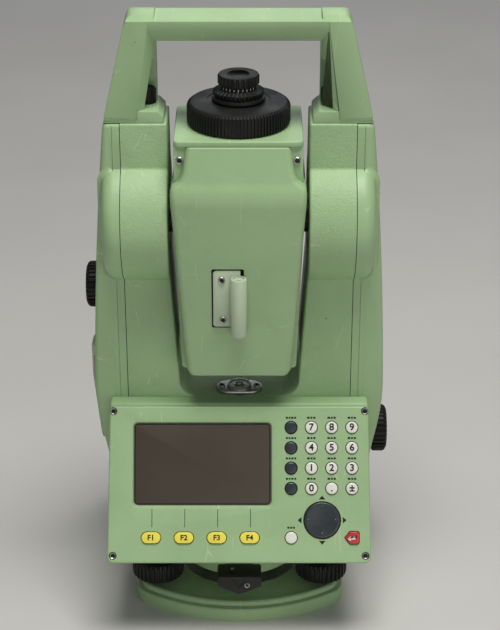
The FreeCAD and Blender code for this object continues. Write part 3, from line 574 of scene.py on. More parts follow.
TUCK = [(60.5, 74.0), (66, 74.4), (72, 75.0), (80, 76.0), (88, 77.2), (97, 78.8), (105, 80.4), (112, 81.8),
        (119, 83.0), (127, 83.8), (134, 84.15), (138, 84.2)]


def cover_x(height):
    """Distance of the bowed cover from the middle plane at a height."""
    top, low, radius = Vector((74.2, 300.7)), Vector((84.2, 138.0)), 2211.0
    if height <= low.y:
        return along(TUCK, height)
    share = (top.y - height) / (top.y - low.y)
    length = (top - low).length
    return top.x + (low.x - top.x) * share + share * (1 - share) * length ** 2 / (2 * radius)


def side_cover(left):
    """The right cover; the left one is its mirror image with a window for the battery."""
    name = "side_cover_shell_left" if left else "side_cover_shell_right"
    inner = SEAM + 0.2
    heights = [TOP - (TOP - COVER_LOW) * step / 28 for step in range(29)]
    front_view = [(inner, COVER_LOW), (inner, TOP)] + [(cover_x(height), height) for height in heights]
    shell = prism(name, front_view, -90, 90, "XZ")
    combine(shell, prism("profile_tool", side_outline(0, COVER_LOW), 60, 95, "YZ", 12), "INTERSECT")
    end = [(0, inner), (BOSS, inner)]
    end += [(BOSS - 7 + 7 * math.cos(turn), 68.7 + 7 * math.sin(turn))
            for turn in [math.radians(9 * step) for step in range(11)]]
    fuse(shell, place(lathe("boss_end_tool", end + [(0, 75.7)], 160), 0, 0, TILT, ABOUT_Y))
    bevel_edges(shell, 2.6, 4, 40, lambda a, b: abs(a.x) > SEAM + 5 or abs(b.x) > SEAM + 5)
    cut(shell, prism("hollow_tool", side_outline(4, 66), 60, SEAM + 6, "YZ", 3))
    groove = [(69.2, 302), (69.6, 302), (69.6, 60), (69.2, 60)]
    cut(shell, prism("groove_tool", groove, FRONT - 1, FRONT + 0.5, "XZ"))
    if left:
        shell.data.transform(Matrix.Scale(-1.0, 4, (1, 0, 0)))
        shell.data.flip_normals()
        cut(shell, prism("window_tool", rectangle(2.6, 92.6, 31.4, 149.4), -95, -60, "YZ"))
    else:
        cut(shell, prism("bore_tool", round_points(*RIGHT_KNOB, 3.05, 32), 60, 95, "YZ"))
    paint(shell, PAINT_SMOOTH, 32)
    word = "left" if left else "right"
    fit(shell, "alidade", "green_cover", "side_cover_" + word)
    edge = span(-1 if left else 1, 64.75, 65.25)
    seal = prism("seam_seal_" + word, side_outline(0.9, 61), *edge, "YZ", 12)
    fit(paint(seal, GASKET), "alidade", "green_cover")


def housings():
    rear = prism("rear_housing_shell", [(38.2, 51), (73, 51, 5), (73, 72, 8), (50, FLOOR, 5), (38.2, FLOOR)],
                 -73, 73, "YZ", 5)
    bevel_edges(rear, 2.2, 3, 40, lambda a, b: a.y > 39 or b.y > 39)
    cut(rear, prism("hollow_tool", [(37, 54), (69, 54), (69, 71), (47.5, 127), (37, 127)], -69, 69, "YZ"))
    cut(rear, prism("seat_tool", round_points(0, 0, 45.3, 96), 50, 72.5, "XY"))
    fit(paint(rear, PAINT_CAST, 32), "alidade", "green_paint", "rear_housing")
    front = prism("keyboard_housing_shell", [(-16.2, FLOOR), (-24.5, FLOOR), (-70.7, 51), (-16.2, 51)],
                  -75.0, 75.0, "YZ")
    bevel_edges(front, 1.4, 3, 30, lambda a, b: a.y < -17 or b.y < -17)
    cut(front, prism("hollow_tool", [(-19, 128), (-19, 54), (-90, 54), (-90, 90), (-25, 128)], -71, 71, "YZ"))
    cut(front, prism("seat_tool", round_points(0, 0, 45.3, 96), 50, 72.5, "XY"))
    fit(paint(front, PAINT_PANEL, 32), "alidade", "green_paint", "keyboard_housing")


# ---- keyboard --------------------------------------------------------------------------------

COLUMNS = [30.1 + 11.75 * step for step in range(4)]
ROWS = [-12.3 - 11.75 * step for step in range(4)]
SOFT_COLUMNS = [-50.9 + 19.0 * step for step in range(4)]
LOW_ROW = -75.9
PAD = (48.0, -65.8)
KEY_NAMES = (("user", "7", "8", "9"), ("function", "4", "5", "6"), ("menu", "1", "2", "3"),
             ("page", "0", "point", "sign"))
CAPTIONS = {"point": ".", "sign": "±"}
ENTER = [(COLUMNS[3] + point[0], LOW_ROW + point[1]) + point[2:] for point in (
    (-4.2, 0), (-1.2, -3.5, 1.2), (4, -3.5, 1.4), (4, 3.5, 1.4), (-1.2, 3.5, 1.2))]
WINDOW = (-61.0, -57.2, 18.4, -9.8)      # left, low, right and high edges of the display's opening
PANEL_SCREWS = [(u, v) for u in (-73, 73) for v in (-2.9, -86.3)]
KEY_HOLE = 3.85
KEY_TOP = 1.2


def grown(points, by):
    """The outline moved outward from its middle by about this much."""
    middle = sum((Vector(p[:2]) for p in points), Vector((0, 0))) / len(points)
    made = []
    for p in points:
        out = Vector(p[:2]) - middle
        moved = Vector(p[:2]) + out.normalized() * by
        made.append((moved.x, moved.y) + tuple(p[2:]))
    return made


def window_outline(grow, radius):
    """The display's opening, made larger all round."""
    left, low, right, high = WINDOW
    return rectangle(left - grow, low - grow, right + grow, high + grow, radius)


def hole(points, steps=6):
    """Tool that cuts right through the panel."""
    return prism("hole_tool", points, -5, 1, "XY", steps)


def keyboard_panel():
    plate = prism("keyboard_face", [(-76.2, -90.5, 3.5), (76.2, -90.5, 3.5), (75, 0, 3), (-75, 0, 3)],
                  -3, 0, "XY", 6)
    bevel_edges(plate, 0.9, 3, 40)
    tools = [hole(window_outline(0, 2.5))]
    tools += [hole(round_points(column, row, KEY_HOLE)) for row in ROWS for column in COLUMNS]
    tools.append(hole(round_points(COLUMNS[0], LOW_ROW, KEY_HOLE)))
    tools.append(hole(round_points(*PAD, 10.95, 96)))
    tools += [hole(bar_points(column, LOW_ROW, 11.9, 7.2), 10) for column in SOFT_COLUMNS]
    tools.append(hole(grown(ENTER, 0.5)))
    tools += [prism("tool", round_points(u, v, 2.3, 32), -2.2, 1, "XY") for u, v in PANEL_SCREWS]
    cut(plate, join("cutter", tools))
    flare = []
    for w, spread in ((-1.9, 0.0), (-0.55, 0.7), (0.02, 2.3), (0.6, 2.4)):
        flare.append([(p.x, p.y, w) for p in fillet(window_outline(spread, 2.5 + spread / 2), 6)])
    cut(plate, loft("flare_tool", flare))
    on_panel(paint(plate, PAINT_PANEL, 32))
    fit(plate, "alidade", "green_paint", "keyboard_panel")


def printed(points, high=0.04):
    """Ink that stands just proud of the panel."""
    return prism("ink", points, 0.005, high, "XY", 2)


def panel_printing():
    """Lines to the soft keys, the pad's arrows, and bars in place of the words over the keys."""
    marks = [printed(bar_points(column + 0.5, -64.6, 0.35, 10.6, 0)) for column in SOFT_COLUMNS]
    for turn in range(4):
        tip = Matrix.Rotation(math.pi / 2 * turn, 2)
        corners = [tip @ Vector(p) for p in ((14.1, 0), (11.9, -1.9), (11.9, 1.9))]
        marks.append(printed([(PAD[0] + c.x, PAD[1] + c.y) for c in corners], 0.05))
    gap = 0.45
    for row in ROWS:
        for column in COLUMNS:
            widths = (1.2, 1.0, 1.3, 1.1) if column == COLUMNS[0] else (1.5, 1.1, 1.3)
            start = -(sum(widths) + gap * (len(widths) - 1)) / 2
            for width in widths:
                marks.append(printed(bar_points(column + start + width / 2, row + 5.6, width, 1.15, 0.2)))
                start += width + gap
    for shift in (-1.6, 0.0, 1.6):
        marks.append(printed(bar_points(COLUMNS[0] + shift, LOW_ROW + 5.8, 1.1, 1.15, 0.2)))
    printing = on_panel(paint(join("panel_printing", marks), PRINT_BLACK))
    fit(printing, "alidade", "green_paint")


def case_screws():
    panel = [place(screw_head("screw", 1.95, 1.3), u, v, -2.1) for u, v in PANEL_SCREWS]
    rear = []
    slope = math.degrees(math.atan2(23, 59))
    for x in (-60, 60):
        for tilt, y, z in ((-90, 73.0, 62), (slope - 90, 73 - 46 * math.tan(math.radians(slope)), 118)):
            turn = Matrix.Rotation(math.radians(tilt), 3, "X")
            rear.append(place(screw_head("screw", 2.2, 1.2), x, y - 0.2, z, turn))
    heads = shade(join("case_screw_heads", [on_panel(join("panel_screws", panel))] + rear))
    fit(heads, "alidade", "steel", "case_screws")


def display():
    window = prism("display_window", window_outline(-0.1, 2.4), -8, -1.7, "XY", 6)
    bevel_edges(window, 0.25, 2, 40)
    mask = prism("display_mask", window_outline(-0.4, 2), -1.75, -1.66, "XY", 6)
    cut(mask, prism("mask_tool", window_outline(-1, 1), -3, 0, "XY", 4))
    made = join("display_glass", [paint(window, DISPLAY), paint(mask, PRINT_BLACK)])
    fit(on_panel(made), "alidade", "display", "display_module")


def key_piece(name, cap, caption=None, centre=(0, 0), size=5.6):
    parts = [cap]
    if caption:
        parts.append(place(letters(caption, size, PRINT_BLACK), *centre, KEY_TOP + 0.05))
    return shade(on_panel(join(name + "_cap", parts)), 40)


def round_cap(column, row, material):
    cap = lathe("cap", [(0, -3.9), (3.4, -3.9), (3.4, 0.55), (3.3, 0.85), (3.05, 1.08), (2.6, KEY_TOP),
                        (0, KEY_TOP)], 48)
    # The flange is black rubber; its black also stands in for painted shade in the gap round the cap.
    flange = cylinder("flange", 4.2, -5.5, -4.0, 32)
    made = join("cap", [paint(cap, material), paint(flange, GASKET)])
    return place(made, column, row, 0)


def keys():
    for row, words in zip(ROWS, KEY_NAMES):
        for index, (column, word) in enumerate(zip(COLUMNS, words)):
            name = "key_" + word
            cap = round_cap(column, row, KEY_WHITE if index else KEY_DARK)
            caption = CAPTIONS.get(word, word) if index else None
            made = key_piece(name, cap, caption, (column, row + 0.1))
            fit(made, name + "_cap", "white_key" if index else "dark_key", name)
    made = key_piece("key_escape", round_cap(COLUMNS[0], LOW_ROW, KEY_WHITE))
    fit(made, "key_escape_cap", "white_key", "key_escape")

    def top_only(a, b):
        return a.z > 1 and b.z > 1

    for index, column in enumerate(SOFT_COLUMNS):
        name = "key_f%d" % (index + 1)
        cap = prism("cap", bar_points(column, LOW_ROW, 11, 6.4), -4, KEY_TOP, "XY", 10)
        bevel_edges(cap, 0.45, 3, 50, top_only)
        # The flange is black rubber; its black also stands in for painted shade in the gap round the cap.
        flange = prism("flange", bar_points(column, LOW_ROW, 12.6, 8), -5.5, -4, "XY", 8)
        cap = join("cap", [paint(cap, KEY_YELLOW), paint(flange, GASKET)])
        made = key_piece(name, cap, "F%d" % (index + 1), (column, LOW_ROW), 4.3)
        fit(made, name + "_cap", "yellow_key", name)
    enter = prism("cap", ENTER, -5, KEY_TOP, "XY", 6)
    bevel_edges(enter, 0.4, 3, 50, top_only)
    arrow = [(-2.6, -0.5), (-0.9, -1.9), (-0.9, -0.9), (1.7, -0.9), (1.7, 1.7), (2.5, 1.7), (2.5, -0.1),
             (-0.9, -0.1), (-0.9, 0.9)]
    mark = prism("mark", [(COLUMNS[3] + u, LOW_ROW + v) for u, v in arrow], KEY_TOP, KEY_TOP + 0.04, "XY")
    made = key_piece("key_enter", join("cap", [paint(enter, KEY_RED), paint(mark, PRINT_WHITE)]))
    fit(made, "key_enter_cap", "red_key", "key_enter")
    pad = lathe("pad", [(0, -5.5), (11.2, -5.5), (11.2, -4), (10.4, -4), (10.4, 0.5), (10.2, 0.95),
                        (9.7, KEY_TOP), (8.8, 1.15), (5, 0.55), (0, 0.35)], 96)
    dots = [paint(pad, KEY_DARK)]
    for turn in range(4):
        angle = math.pi / 2 * turn
        dot = lathe("dot", [(0, 0), (0.95, 0), (0.85, 0.95), (0.5, 1.2), (0, 1.3)], 20)
        dots.append(paint(place(dot, 7.8 * math.cos(angle), 7.8 * math.sin(angle), 0), KEY_DARK))
    made = key_piece("navigation_pad", place(join("pad", dots), *PAD, 0))
    fit(made, "navigation_pad_cap", "dark_key", "navigation_pad")


# ---- telescope -------------------------------------------------------------------------------

COVER_WIDTH = [(154.4, 28.2), (157.5, 29.9), (262, 37.2), (266.5, 37.3), (269.5, 36.6), (271.4, 34.6),
               (272.6, 32.6), (275, 31.2), (279, 30.2), (291.3, 28.7)]
COVER_FRONT = [(154.4, 33.6), (257, 39.4), (260, 39.55), (262.5, 39.5), (265, 39.2), (267.5, 38.6),
               (270, 37.75), (273, 36.7), (291.3, 31.9)]


def cover_ring(height, half, front, back, corner=3.4, steps=5):
    """Section of the telescope's front cover with rounded front corners."""
    right = []
    for step in range(steps + 1):
        angle = math.pi / 2 * step / steps
        right.append((half - corner + corner * math.cos(angle), -front + corner - corner * math.sin(angle),
                      height))
    left = [(-x, y, z) for x, y, z in reversed(right)]
    return [(half, -back, height)] + right + left + [(-half, -back, height)]


def cover_rows():
    heights = [154.4, 155.2, 157.5, 175, 200, 225, 245, 256] + [258 + 1.25 * step for step in range(14)]
    heights += [277, 279, 283, 287, 290.4, 291.3]
    rows = [(153.3, 26.4, 31.4, 20.2, 2.0), (153.5, 27.4, 32.6, 20.2, 2.6)]
    for height in heights:
        back = 20.2 if height < 271.2 else 29.7
        rows.append((height, along(COVER_WIDTH, height), along(COVER_FRONT, height),
                     min(back, 28.0) if back > 21 else back))
    rows.append((291.7, rows[-1][1] - 0.5, 31.3, 28.0))
    return rows


def telescope():
    outline = [(-33, 152, 2), (33, 152, 2), (37.2, 264, 3), (35.3, 273, 3),
               (35.3, 296), (-35.3, 296), (-35.3, 273, 3), (-37.2, 264, 3)]
    body = prism("telescope_body", outline, -60, 60, "XZ", 5)
    profile = [(-20, 151), (-20, 271), (-29.6, 271), (-29.6, 292), (29, 292), (29, 286), (37, 271, 6),
               (35, 151)]
    combine(body, prism("profile_tool", profile, -60, 60, "YZ", 5), "INTERSECT")
    bevel_edges(body, 3.4, 4, 40, lambda a, b: a.y > 20 and b.y > 20)
    bevel_edges(body, 0.5, 2, 40, lambda a, b: a.y < 20 or b.y < 20)
    lip = prism("lip", rectangle(-35.3, -31, 35.3, 29, 3), 291.6, 295, "XY", 5)
    bevel_edges(lip, 0.8, 3, 40)
    tube = cylinder("tube", 11, 294.9, 308.6, 64)
    fuse(body, tube)
    fuse(body, lip)
    bore = lathe("bore_tool", [(0, 150), (19, 150), (19, 214), (13, 214), (13, 289), (8, 289), (8, 310),
                               (0, 310)], 96)
    cut(body, bore)
    for side in (1, -1):
        cut(body, prism("seat_tool", round_points(0, TILT, 10, 48), *span(side, 30, 50), "YZ"))
    fit(paint(body, PAINT_SMOOTH, 32), "telescope", "telescope_paint", "telescope_housing")

    cover = loft("telescope_cover", [cover_ring(*row) for row in cover_rows()])
    hollow = [(-26, 158), (26, 158), (33, 262), (-33, 262)]
    cut(cover, prism("hollow_tool", hollow, -29.5, -19, "XZ"))
    recess = rectangle(-15.2, 185.6, 3.0, 222.6, 1)
    cut(cover, prism("recess_tool", recess, -44, -34.9, "XZ", 3))
    fit(paint(cover, PAINT_SMOOTH, 32), "telescope", "green_cover", "telescope_front_cover")
    bed = prism("sight_bed", rectangle(-15.0, 185.8, 2.8, 222.4), -35.2, -34.9, "XZ")
    fit(paint(bed, GASKET), "telescope", "green_cover")

    screws = []
    for x in (-31.9, 31.9):
        screws.append(place(screw_head("screw", 2.1, 1.3), x, -29.5, 284.0, TO_FRONT))
    heads = shade(join("telescope_screw_heads", screws))
    fit(heads, "telescope", "steel", "telescope_screws")


def sight():
    plate = prism("plate", [(-14.3, 187, 1.5), (1, 187, 0), (1, 221.5, 0), (-14.3, 221.5, 2)], -37.2, -35.2,
                  "XZ", 4)
    bevel_edges(plate, 0.4, 2, 40)
    tube = lathe("tube", [(0, 182.6), (3.2, 182.6), (4.3, 183.4), (4.6, 184.8), (4.6, 217.6), (4.2, 218.2),
                          (3.3, 218.4), (3.1, 217.8), (3.0, 204), (0, 204)], 64)
    place(tube, 0, -40.4, 0)
    web = prism("web", rectangle(-4.4, 186.5, 4.4, 217.4), -40.4, -35.2, "XZ")
    bevel_edges(web, 0.4, 2, 40)
    parts = [paint(piece, PAINT_SIGHT, 40) for piece in (plate, tube, web)]
    # White disc at the bottom of the bore: a painted highlight that makes the sight's opening look bright.
    painted_highlight_disc = cylinder("painted_highlight_disc", 2.95, 204.05, 205, 32)
    parts.append(paint(place(painted_highlight_disc, 0, -40.4, 0), PRINT_WHITE))
    for x, z in ((-9.4, 216.0), (-8.8, 191.5)):
        parts.append(place(screw_head("screw", 2.0, 1.1), x, -37.1, z, TO_FRONT))
    made = shade(join("sight_tube", parts))
    fit(made, "telescope", "sight_plastic", "optical_sights")


def eyepiece():
    ring = lathe("focusing_ring_grip", [(11.2, 295.3), (27.4, 295.3), (28.3, 296.0), (28.7, 297.0),
                                        (28.7, 305.4), (28.2, 306.6), (26.6, 307.7), (24.5, 308.2),
                                        (17.5, 308.6), (17.2, 308.3), (11.2, 308.3)], 720, 90, 0.9,
                 (2, 3, 4, 5), 0.62)
    fit(paint(ring, BLACK, 30), "focusing_ring", "black_knob", "focus_ring")
    collar = lathe("collar", [(3.5, 300), (7.9, 300), (7.9, 308.9), (14.6, 308.9), (14.9, 309.6),
                              (14.6, 310.6), (13.0, 311.2), (3.5, 311.2)], 96)
    teeth = lathe("teeth", [(3.5, 311.0), (12.6, 311.0), (14.2, 312.2), (14.2, 314.0), (10.4, 315.6),
                            (3.5, 315.6)], 432, 36, 1.1, (2, 3), 0.55)
    neck = lathe("neck", [(3.5, 315.4), (9.6, 315.4), (9.9, 317.6), (3.5, 317.6)], 96)
    cap = lathe("cap", [(3.5, 317.4), (10.6, 317.4), (11.5, 318.3), (11.5, 322.3), (10.9, 323.2),
                        (9.8, 323.5), (6.2, 323.2), (5.2, 322.2), (3.5, 321.6)], 480, 24, 0.8, (2, 3), 0.7)
    parts = [paint(piece, BLACK, 30) for piece in (collar, teeth, neck, cap)]
    for step in range(9):
        angle = math.radians(-90 + 14 * (step - 4))
        tick = prism("tick", bar_points(0, 316.4, 0.35, 1.1 if step % 2 else 1.6, 0), 9.75, 9.95, "XZ")
        tick.data.transform(Matrix.Rotation(angle - math.pi / 2, 4, "Z"))
        parts.append(paint(tick, PRINT_WHITE))
    glass = lathe("glass", [(0, 312), (3.5, 312), (3.5, 319.2), (2.4, 320.0), (0, 320.4)], 48)
    parts.append(paint(glass, LENS))
    made = shade(join("eyepiece_grip", parts), 30)
    fit(made, "eyepiece", "black_knob", "eyepiece_ring")


# ---- knobs, handle, battery ------------------------------------------------------------------

def side_knob(radius, inner, outer, axis, shaft_end):
    """Ribbed rubber knob with a domed face and its steel shaft, both along X."""
    length = abs(outer - inner)
    profile = [(0, 0), (radius - 1.2, 0), (radius, 1.0), (radius, length - 2.6), (radius - 0.8, length - 1.3),
               (radius - 2.6, length - 0.4), (radius * 0.45, length), (0, length)]
    knob = lathe("knob", profile, 480, 30, 1.1, (2, 3, 4), 0.6)
    turn = ABOUT_Y if outer > 0 else Matrix.Rotation(math.radians(-90), 3, "Y")
    place(knob, inner, *axis, turn)
    shaft = place(cylinder("shaft", 3, *sorted((inner, shaft_end)), 32), 0, *axis, ABOUT_Y)
    return [paint(knob, BLACK, 30), paint(shaft, STEEL)]


def drives():
    left = side_knob(13.5, -82.6, -89.6, LEFT_KNOB, -52)
    roller_profile = [(0, -58), (18.0, -58), (18.6, -57.4), (18.6, -52.6), (18.0, -52), (0, -52)]
    roller = lathe("roller", roller_profile, 128)
    place(roller, 0, *LEFT_KNOB, ABOUT_Y)
    made = shade(join("left_tangent_knob", left + [paint(roller, BRASS)]), 30)
    fit(made, "vertical_knob", "black_knob", "vertical_drive")
    right = side_knob(14.4, 81.0, 90.5, RIGHT_KNOB, -12)
    thread = [(9.3 if step % 2 else 7.9, -9.6 + 1.2 * step) for step in range(17)]
    worm = place(lathe("worm", [(0, -10)] + thread + [(0, 10)], 64), 0, *RIGHT_KNOB, ABOUT_Y)
    made = shade(join("right_tangent_knob", right + [paint(worm, BRASS, 20)]), 30)
    fit(made, "horizontal_knob", "black_knob", "horizontal_drive")


def carrying_handle():
    bar = [(-14.8, 357.2), (-14.8, 355.6), (-14.2, 352), (-12.6, 348.8), (-10, 345.8), (-6.5, 343.6),
           (-2, 343), (5, 343), (10, 345, 3), (12.5, 351), (12.5, 358)]
    handle = prism("handle", bar, -62, 62, "YZ", 4)
    for side in (1, -1):
        leg = prism("leg_tool", [(side * x, z) for x, z in ((74, 302), (60, 362), (45, 362), (45, 302))],
                    -15, 13, "XZ")
        rings = []
        for z in (290.0, 375.0):
            lean = (z - 303.0) * 0.1222
            depth = (10.0 - lean) / 0.8933
            rings.append([(side * x, y, z) for x, y in (
                (55.0 - lean + 2.68, -18.0), (40.0, -18.0), (40.0, -15.0 + depth + 5.6))])
        cut(leg, loft("chamfer_tool", rings))
        fuse(handle, leg)
    top = [(-15, 290), (-15, 356.6), (-9, 359.0, 8), (-1, 360.0, 12), (7, 358.6, 8), (13, 352.5, 4),
           (13, 290)]
    combine(handle, prism("top_tool", top, -90, 90, "YZ", 4), "INTERSECT")
    half = [(74, 298), (73.2, 304), (61.5, 353.5), (59.6, 357.6), (56.0, 359.4), (50, 361)]
    outline = half + [(-x, z) for x, z in reversed(half)]
    combine(handle, prism("outline_tool", outline, -40, 40, "XZ"), "INTERSECT")
    for side in (1, -1):
        foot = [(side * x, z) for x, z in ((73.6, 300.0), (72.2, 306.4), (44.0, 306.4), (40.7, 303.2),
                                           (40.7, 300.0))]
        fuse(handle, prism("foot_tool", foot, -14.9, 12.9, "XZ"))
    for side in (1, -1):
        bore = prism("bore_tool", round_points(side * 50, 0, 2.05, 24), 298, 308, "XY")
        cut(handle, bore)
        slot = [(-11.2, 306.8), (5.4, 306.8), (5.4, 334), (-9.6, 334)]
        cut(handle, prism("slot_tool", slot, *span(side, 30.0, 55.2), "YZ", 3))
    bevel_edges(handle, 0.5, 2, 38, lambda a, b: max(a.z,
                                                     b.z) > 301 and not (min(a.z, b.z) > 355 and a.y < -13))
    fit(paint(handle, PAINT_SMOOTH, 32), "handle", "green_cover", "carrying_handle")
    for side, word in ((-1, "left"), (1, "right")):
        grip = lathe("grip", [(0, 306.5), (4.3, 306.5), (4.8, 307.2), (4.8, 314.6), (4.2, 315.5), (0, 315.5)],
                     288, 24, 0.45, (2, 3), 0.6)
        shank = cylinder("shank", 2, 290.8, 306.6, 32)
        made = join("handle_thumbscrew_" + word, [paint(grip, BLACK, 30), paint(shank, STEEL)])
        place(made, side * 50, 0, 0)
        shade(made, 30)
        fit(made, "%s_handle_screw" % word, "black_knob", "handle_screw_" + word)


def battery():
    plan = [(-79, 3), (-82.5, 3, 1), (-88.9, 20, 4), (-88.9, 31, 3), (-79, 31)]
    face = prism("face", plan, 93, 149, "XY", 6)
    front_view = [(-79, 93), (-83.4, 93, 2), (-88.9, 128, 20), (-88.9, 149, 3), (-79, 149)]
    combine(face, prism("taper_tool", front_view, 0, 40, "XZ", 6), "INTERSECT")
    cell = prism("cell", rectangle(4, 94, 30, 148, 2), -79, -50, "YZ", 3)
    bevel_edges(cell, 0.8, 2, 40)
    grip = prism("grip_tool", bar_points(24, 141, 9, 5, 0.9), -90, -87.6, "YZ", 5)
    cut(face, grip)
    parts = [paint(face, PAINT_SMOOTH), paint(cell, BLACK)]
    plate = prism("plate", bar_points(0, 0, 9, 18, 0.3), -0.3, 0.25, "XY", 5)
    bevel_edges(plate, 0.15, 2, 40)
    turn = Matrix(((0.352, 0, -0.936), (-0.936, 0, -0.352), (0, 1, 0)))
    parts.append(paint(place(plate, -85.75, 11.6, 134, turn), NAMEPLATE))
    made = shade(join("battery_drawer", parts), 32)
    fit(made, "battery", "green_cover", "battery_holder")


def level():
    """Circular level; its heights are drawn from the yoke's floor."""
    plate = prism("plate", bar_points(0, 0, 27, 15, 0.95), 0, 2.4, "XY", 10)
    bevel_edges(plate, 0.6, 3, 40)
    cut(plate, prism("seat_tool", round_points(0, 0, 7.2, 64), -1, 4, "XY"))
    ring = lathe("ring", [(5.4, -5), (7.15, -5), (7.15, 3.4), (6.7, 3.8), (5.9, 3.8), (5.4, 3.2)], 64)
    glass = lathe("glass", [(0, -5), (5.4, -5), (5.4, 2.6), (3.5, 3.3), (0, 3.6)], 48)
    circle = lathe("circle", [(1.9, 3.52), (2.2, 3.5), (2.2, 3.6), (1.9, 3.62)], 48)
    bubble = lathe("bubble", [(0, 3.4), (1.5, 3.45), (1.3, 3.7), (0, 3.78)], 32)
    parts = [paint(piece, material) for piece, material in (
        (plate, STEEL), (ring, STEEL), (glass, CLEAR), (circle, PRINT_BLACK), (bubble, PRINT_WHITE))]
    parts += [place(screw_head("screw", 1.9, 0.9), x, 0, 2.3) for x in (-10.3, 10.3)]
    made = shade(place(join("level_bubble", parts), 0, -7, FLOOR))
    fit(made, "alidade", "level", "circular_level")


# ---- levelling base --------------------------------------------------------------------------

def polar(radius, angle):
    return radius * math.cos(math.radians(angle)), radius * math.sin(math.radians(angle))


FOOT_ANGLES = (-30, 90, 210)
FOOT = [polar(57, angle) for angle in FOOT_ANGLES]


def arc(centre, radius, first, last, steps, skipped=0):
    """Points round a centre from one direction anticlockwise to another, less some at each end."""
    start, end = math.atan2(first.y, first.x), math.atan2(last.y, last.x)
    end += 2 * math.pi if end < start else 0.0
    angles = [start + (end - start) * step / steps for step in range(skipped, steps + 1 - skipped)]
    return [(centre.x + radius * math.cos(angle), centre.y + radius * math.sin(angle)) for angle in angles]


def base_outline(inset=0.0, steps=14):
    """Three bulging sides and three round corners, tangent to each other."""
    side_radius, corner, offset = 99.5 - inset, 13.0 - inset, 42.5
    points = []
    for index, corner_angle in enumerate(FOOT_ANGLES):
        here, following = Vector(FOOT[index]), Vector(FOOT[(index + 1) % 3])
        before, after = (Vector(polar(offset, corner_angle + turn)) for turn in (120, -120))
        points += arc(here, corner, here - before, here - after, steps)
        points += arc(after, side_radius, here - after, following - after, 2 * steps, 1)
    return points


def base_plate():
    rim = [(0.0, 0.0), (0.0, 7.6), (0.6, 8.4), (3.2, 8.8), (3.9, 10.9), (4.8, 11.5), (6.2, 11.5), (6.9, 10.9),
           (8.4, 10.9)]
    plate = loft("levelling_base_plate", [[(x, y, height) for x, y in base_outline(inset)] for inset,
                                          height in rim])
    hole = lathe("hole_tool", [(0, -1), (30, -1), (30, 8), (36, 8), (36, 13), (0, 13)], 96)
    cut(plate, hole)
    sockets = [prism("tool", round_points(x, y, 4.05, 32), 6, 14, "XY") for x, y in FOOT]
    cut(plate, join("sockets", sockets))
    fit(paint(plate, PAINT_CAST, 30), "base", "green_paint", "tribrach_base_plate")


def levelling_head():
    drum = prism("tribrach_casting", round_points(0, 0, 38, 96), 20, 45, "XY")
    for x, y in FOOT:
        out = Vector((x, y)).normalized()
        across = Vector((-out.y, out.x))
        arm = [(Vector((x, y)) + out * 11 * math.cos(turn) + across * 11 * math.sin(turn))
               for turn in [math.radians(-90 + 12 * step) for step in range(16)]]
        arm += [across * 13, across * -13]
        fuse(drum, prism("arm_tool", [(p.x, p.y) for p in arm], 33, 45, "XY"))
    key_boss = cylinder("boss_tool", 8.5, 0, 47.4, 64)
    fuse(drum, place(key_boss, 0, 0, 30, TO_FRONT))
    bevel_edges(drum, 1.4, 3, 40)
    cut(drum, prism("socket_tool", round_points(0, 0, 32, 96), 33, 47, "XY"))
    cut(drum, prism("sight_tool", round_points(0, 0, 16, 64), 18, 40, "XY"))
    bores = [prism("tool", round_points(x, y, 4.05, 32), 30, 47, "XY") for x, y in FOOT]
    cut(drum, join("bores", bores))
    fit(paint(drum, PAINT_CAST, 32), "tribrach", "green_paint", "tribrach_body")


def foot_screws():
    for word, (x, y) in zip(("right", "rear", "left"), FOOT):
        knob = lathe("knob", [(0, 6.3), (4, 6.3), (4, 17), (13.8, 17), (15.2, 17.8), (15.6, 19),
                              (15.6, 26.4), (15.2, 27.6), (13.6, 28.5), (4, 28.5), (4, 44), (0, 44)],
                     480, 32, 1.2, (4, 5, 6, 7), 0.55)
        made = paint(knob, BLACK, 30)
        made.name = "foot_screw_grip_" + word
        place(made, x, y, 0)
        fit(made, word + "_foot_screw", "black_knob", "foot_screw_" + word)


def lock_lever():
    lever = prism("lever", [(-13, 35.5, 1.5), (-13, 28.5, 2), (-5.5, 24.6, 3), (0, 22.6, 2), (5.5, 24.6, 3),
                            (13, 28.5, 2), (13, 35.5, 1.5)], -62, -48, "XZ", 5)
    bevel_edges(lever, 1.1, 3, 34)
    shaft = place(cylinder("shaft", 3, 32, 48.2, 32), 0, 0, 30, TO_FRONT)
    arrow_line = [(-3.6, 33.2), (3.6, 33.2), (0, 27.4)]
    cut(lever, prism("groove_tool", arrow_line, -62.5, -61.6, "XZ"))
    parts = [paint(lever, BLACK_METAL, 32), paint(shaft, STEEL)]
    parts.append(place(screw_head("screw", 1.6, 0.8), 4.6, -61.6, 29.4, TO_FRONT))
    pin = lathe("pin", [(0, 35.3), (1.0, 35.3), (1.0, 35.9), (0.7, 36.1), (0, 36.15)], 24)
    parts.append(paint(place(pin, -4.2, -54, 0), STEEL))
    made = shade(join("lock_lever", parts), 32)
    fit(made, "lock", "black_knob", "lock_key")


# ---- inner pieces that stay as they are ------------------------------------------------------

INNER = {
    "tribrach_spring_plate": STEEL, "base_flange": STEEL, "azimuth_spindle": STEEL,
    "trunnion_axles": BLACK_METAL,
    "trunnion_bearings": BRASS, "objective_lens": LENS, "focusing_lens": LENS, "horizontal_circle": LENS,
    "vertical_circle": LENS, "circuit_boards": BOARD,
}


def inner_pieces():
    for node, material in INNER.items():
        paint(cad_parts[node], material, 30)


# ---- stage -----------------------------------------------------------------------------------

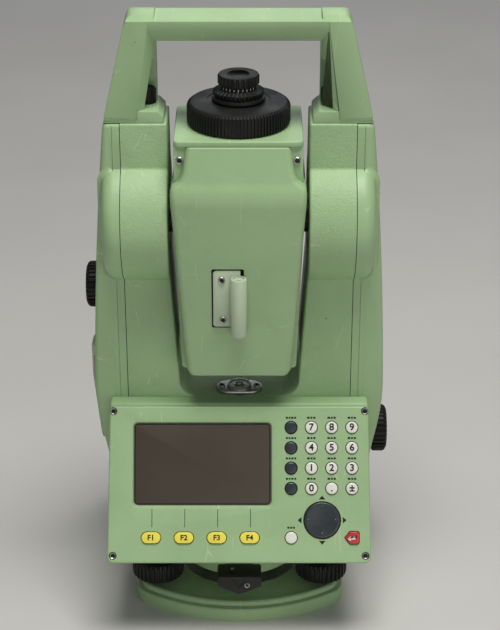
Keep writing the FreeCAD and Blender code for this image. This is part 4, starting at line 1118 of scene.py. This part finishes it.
def stage():
    floor_material, tree, principled = shader("studio_floor", Roughness=0.75)
    place_on = position(tree)
    tone = remap(tree, noise(tree, place_on, 3.0, 3.0), 0.3, 0.7)
    drive(principled, "Base Color", mix(tree, tone, (0.56, 0.55, 0.53, 1.0), (0.62, 0.61, 0.59, 1.0)))
    bm = bmesh.new()
    bmesh.ops.create_grid(bm, x_segments=1, y_segments=1, size=6.0)
    floor = to_object(bm, "floor")
    floor.data.materials.append(floor_material)

    world = bpy.data.worlds.new("studio")
    world.use_nodes = True
    world.node_tree.nodes["Background"].inputs["Color"].default_value = (0.92, 0.95, 1.0, 1.0)
    world.node_tree.nodes["Background"].inputs["Strength"].default_value = 0.13
    scene.world = world
    scene.view_settings.view_transform = "Standard"

    def area(name, where, aim, size, power, color):
        data = bpy.data.lights.new(name, "AREA")
        data.shape = "RECTANGLE"
        data.size, data.size_y = size
        data.energy = power
        data.color = color
        light = bpy.data.objects.new(name, data)
        light.location = where
        light.rotation_euler = (Vector(aim) - Vector(where)).to_track_quat("-Z", "Y").to_euler()
        scene.collection.objects.link(light)

    area("overhead", (0.12, -0.30, 1.48), (0, -0.02, 0.25), (0.8, 0.5), 17.5, (1.0, 0.98, 0.94))
    area("low_front", (0.1, -0.75, 0.10), (0, 0, 0.02), (0.8, 0.15), 0.7, (1.0, 0.98, 0.95))
    area("room", (0.9, -1.7, 0.7), (0, 0, 0.15), (1.4, 1.0), 3.4, (1.0, 0.98, 0.95))
    area("back_fill", (0.2, 1.7, 1.3), (0, 0, 0.2), (1.6, 1.0), 5.0, (0.95, 0.98, 1.0))

    data = bpy.data.cameras.new("camera")
    data.lens = 100.0
    data.sensor_width = 36.0
    data.sensor_fit = "AUTO"
    camera = bpy.data.objects.new("camera", data)
    camera.location = (0.0063, -0.918, 0.624)
    camera.rotation_euler = (math.radians(64.0), 0.0, 0.0)
    scene.collection.objects.link(camera)
    scene.camera = camera


alidade_casting()
for is_left in (False, True):
    side_cover(is_left)
housings()
keyboard_panel()
panel_printing()
case_screws()
display()
keys()
telescope()
sight()
eyepiece()
drives()
carrying_handle()
battery()
level()
base_plate()
levelling_head()
foot_screws()
lock_lever()
inner_pieces()
stage()
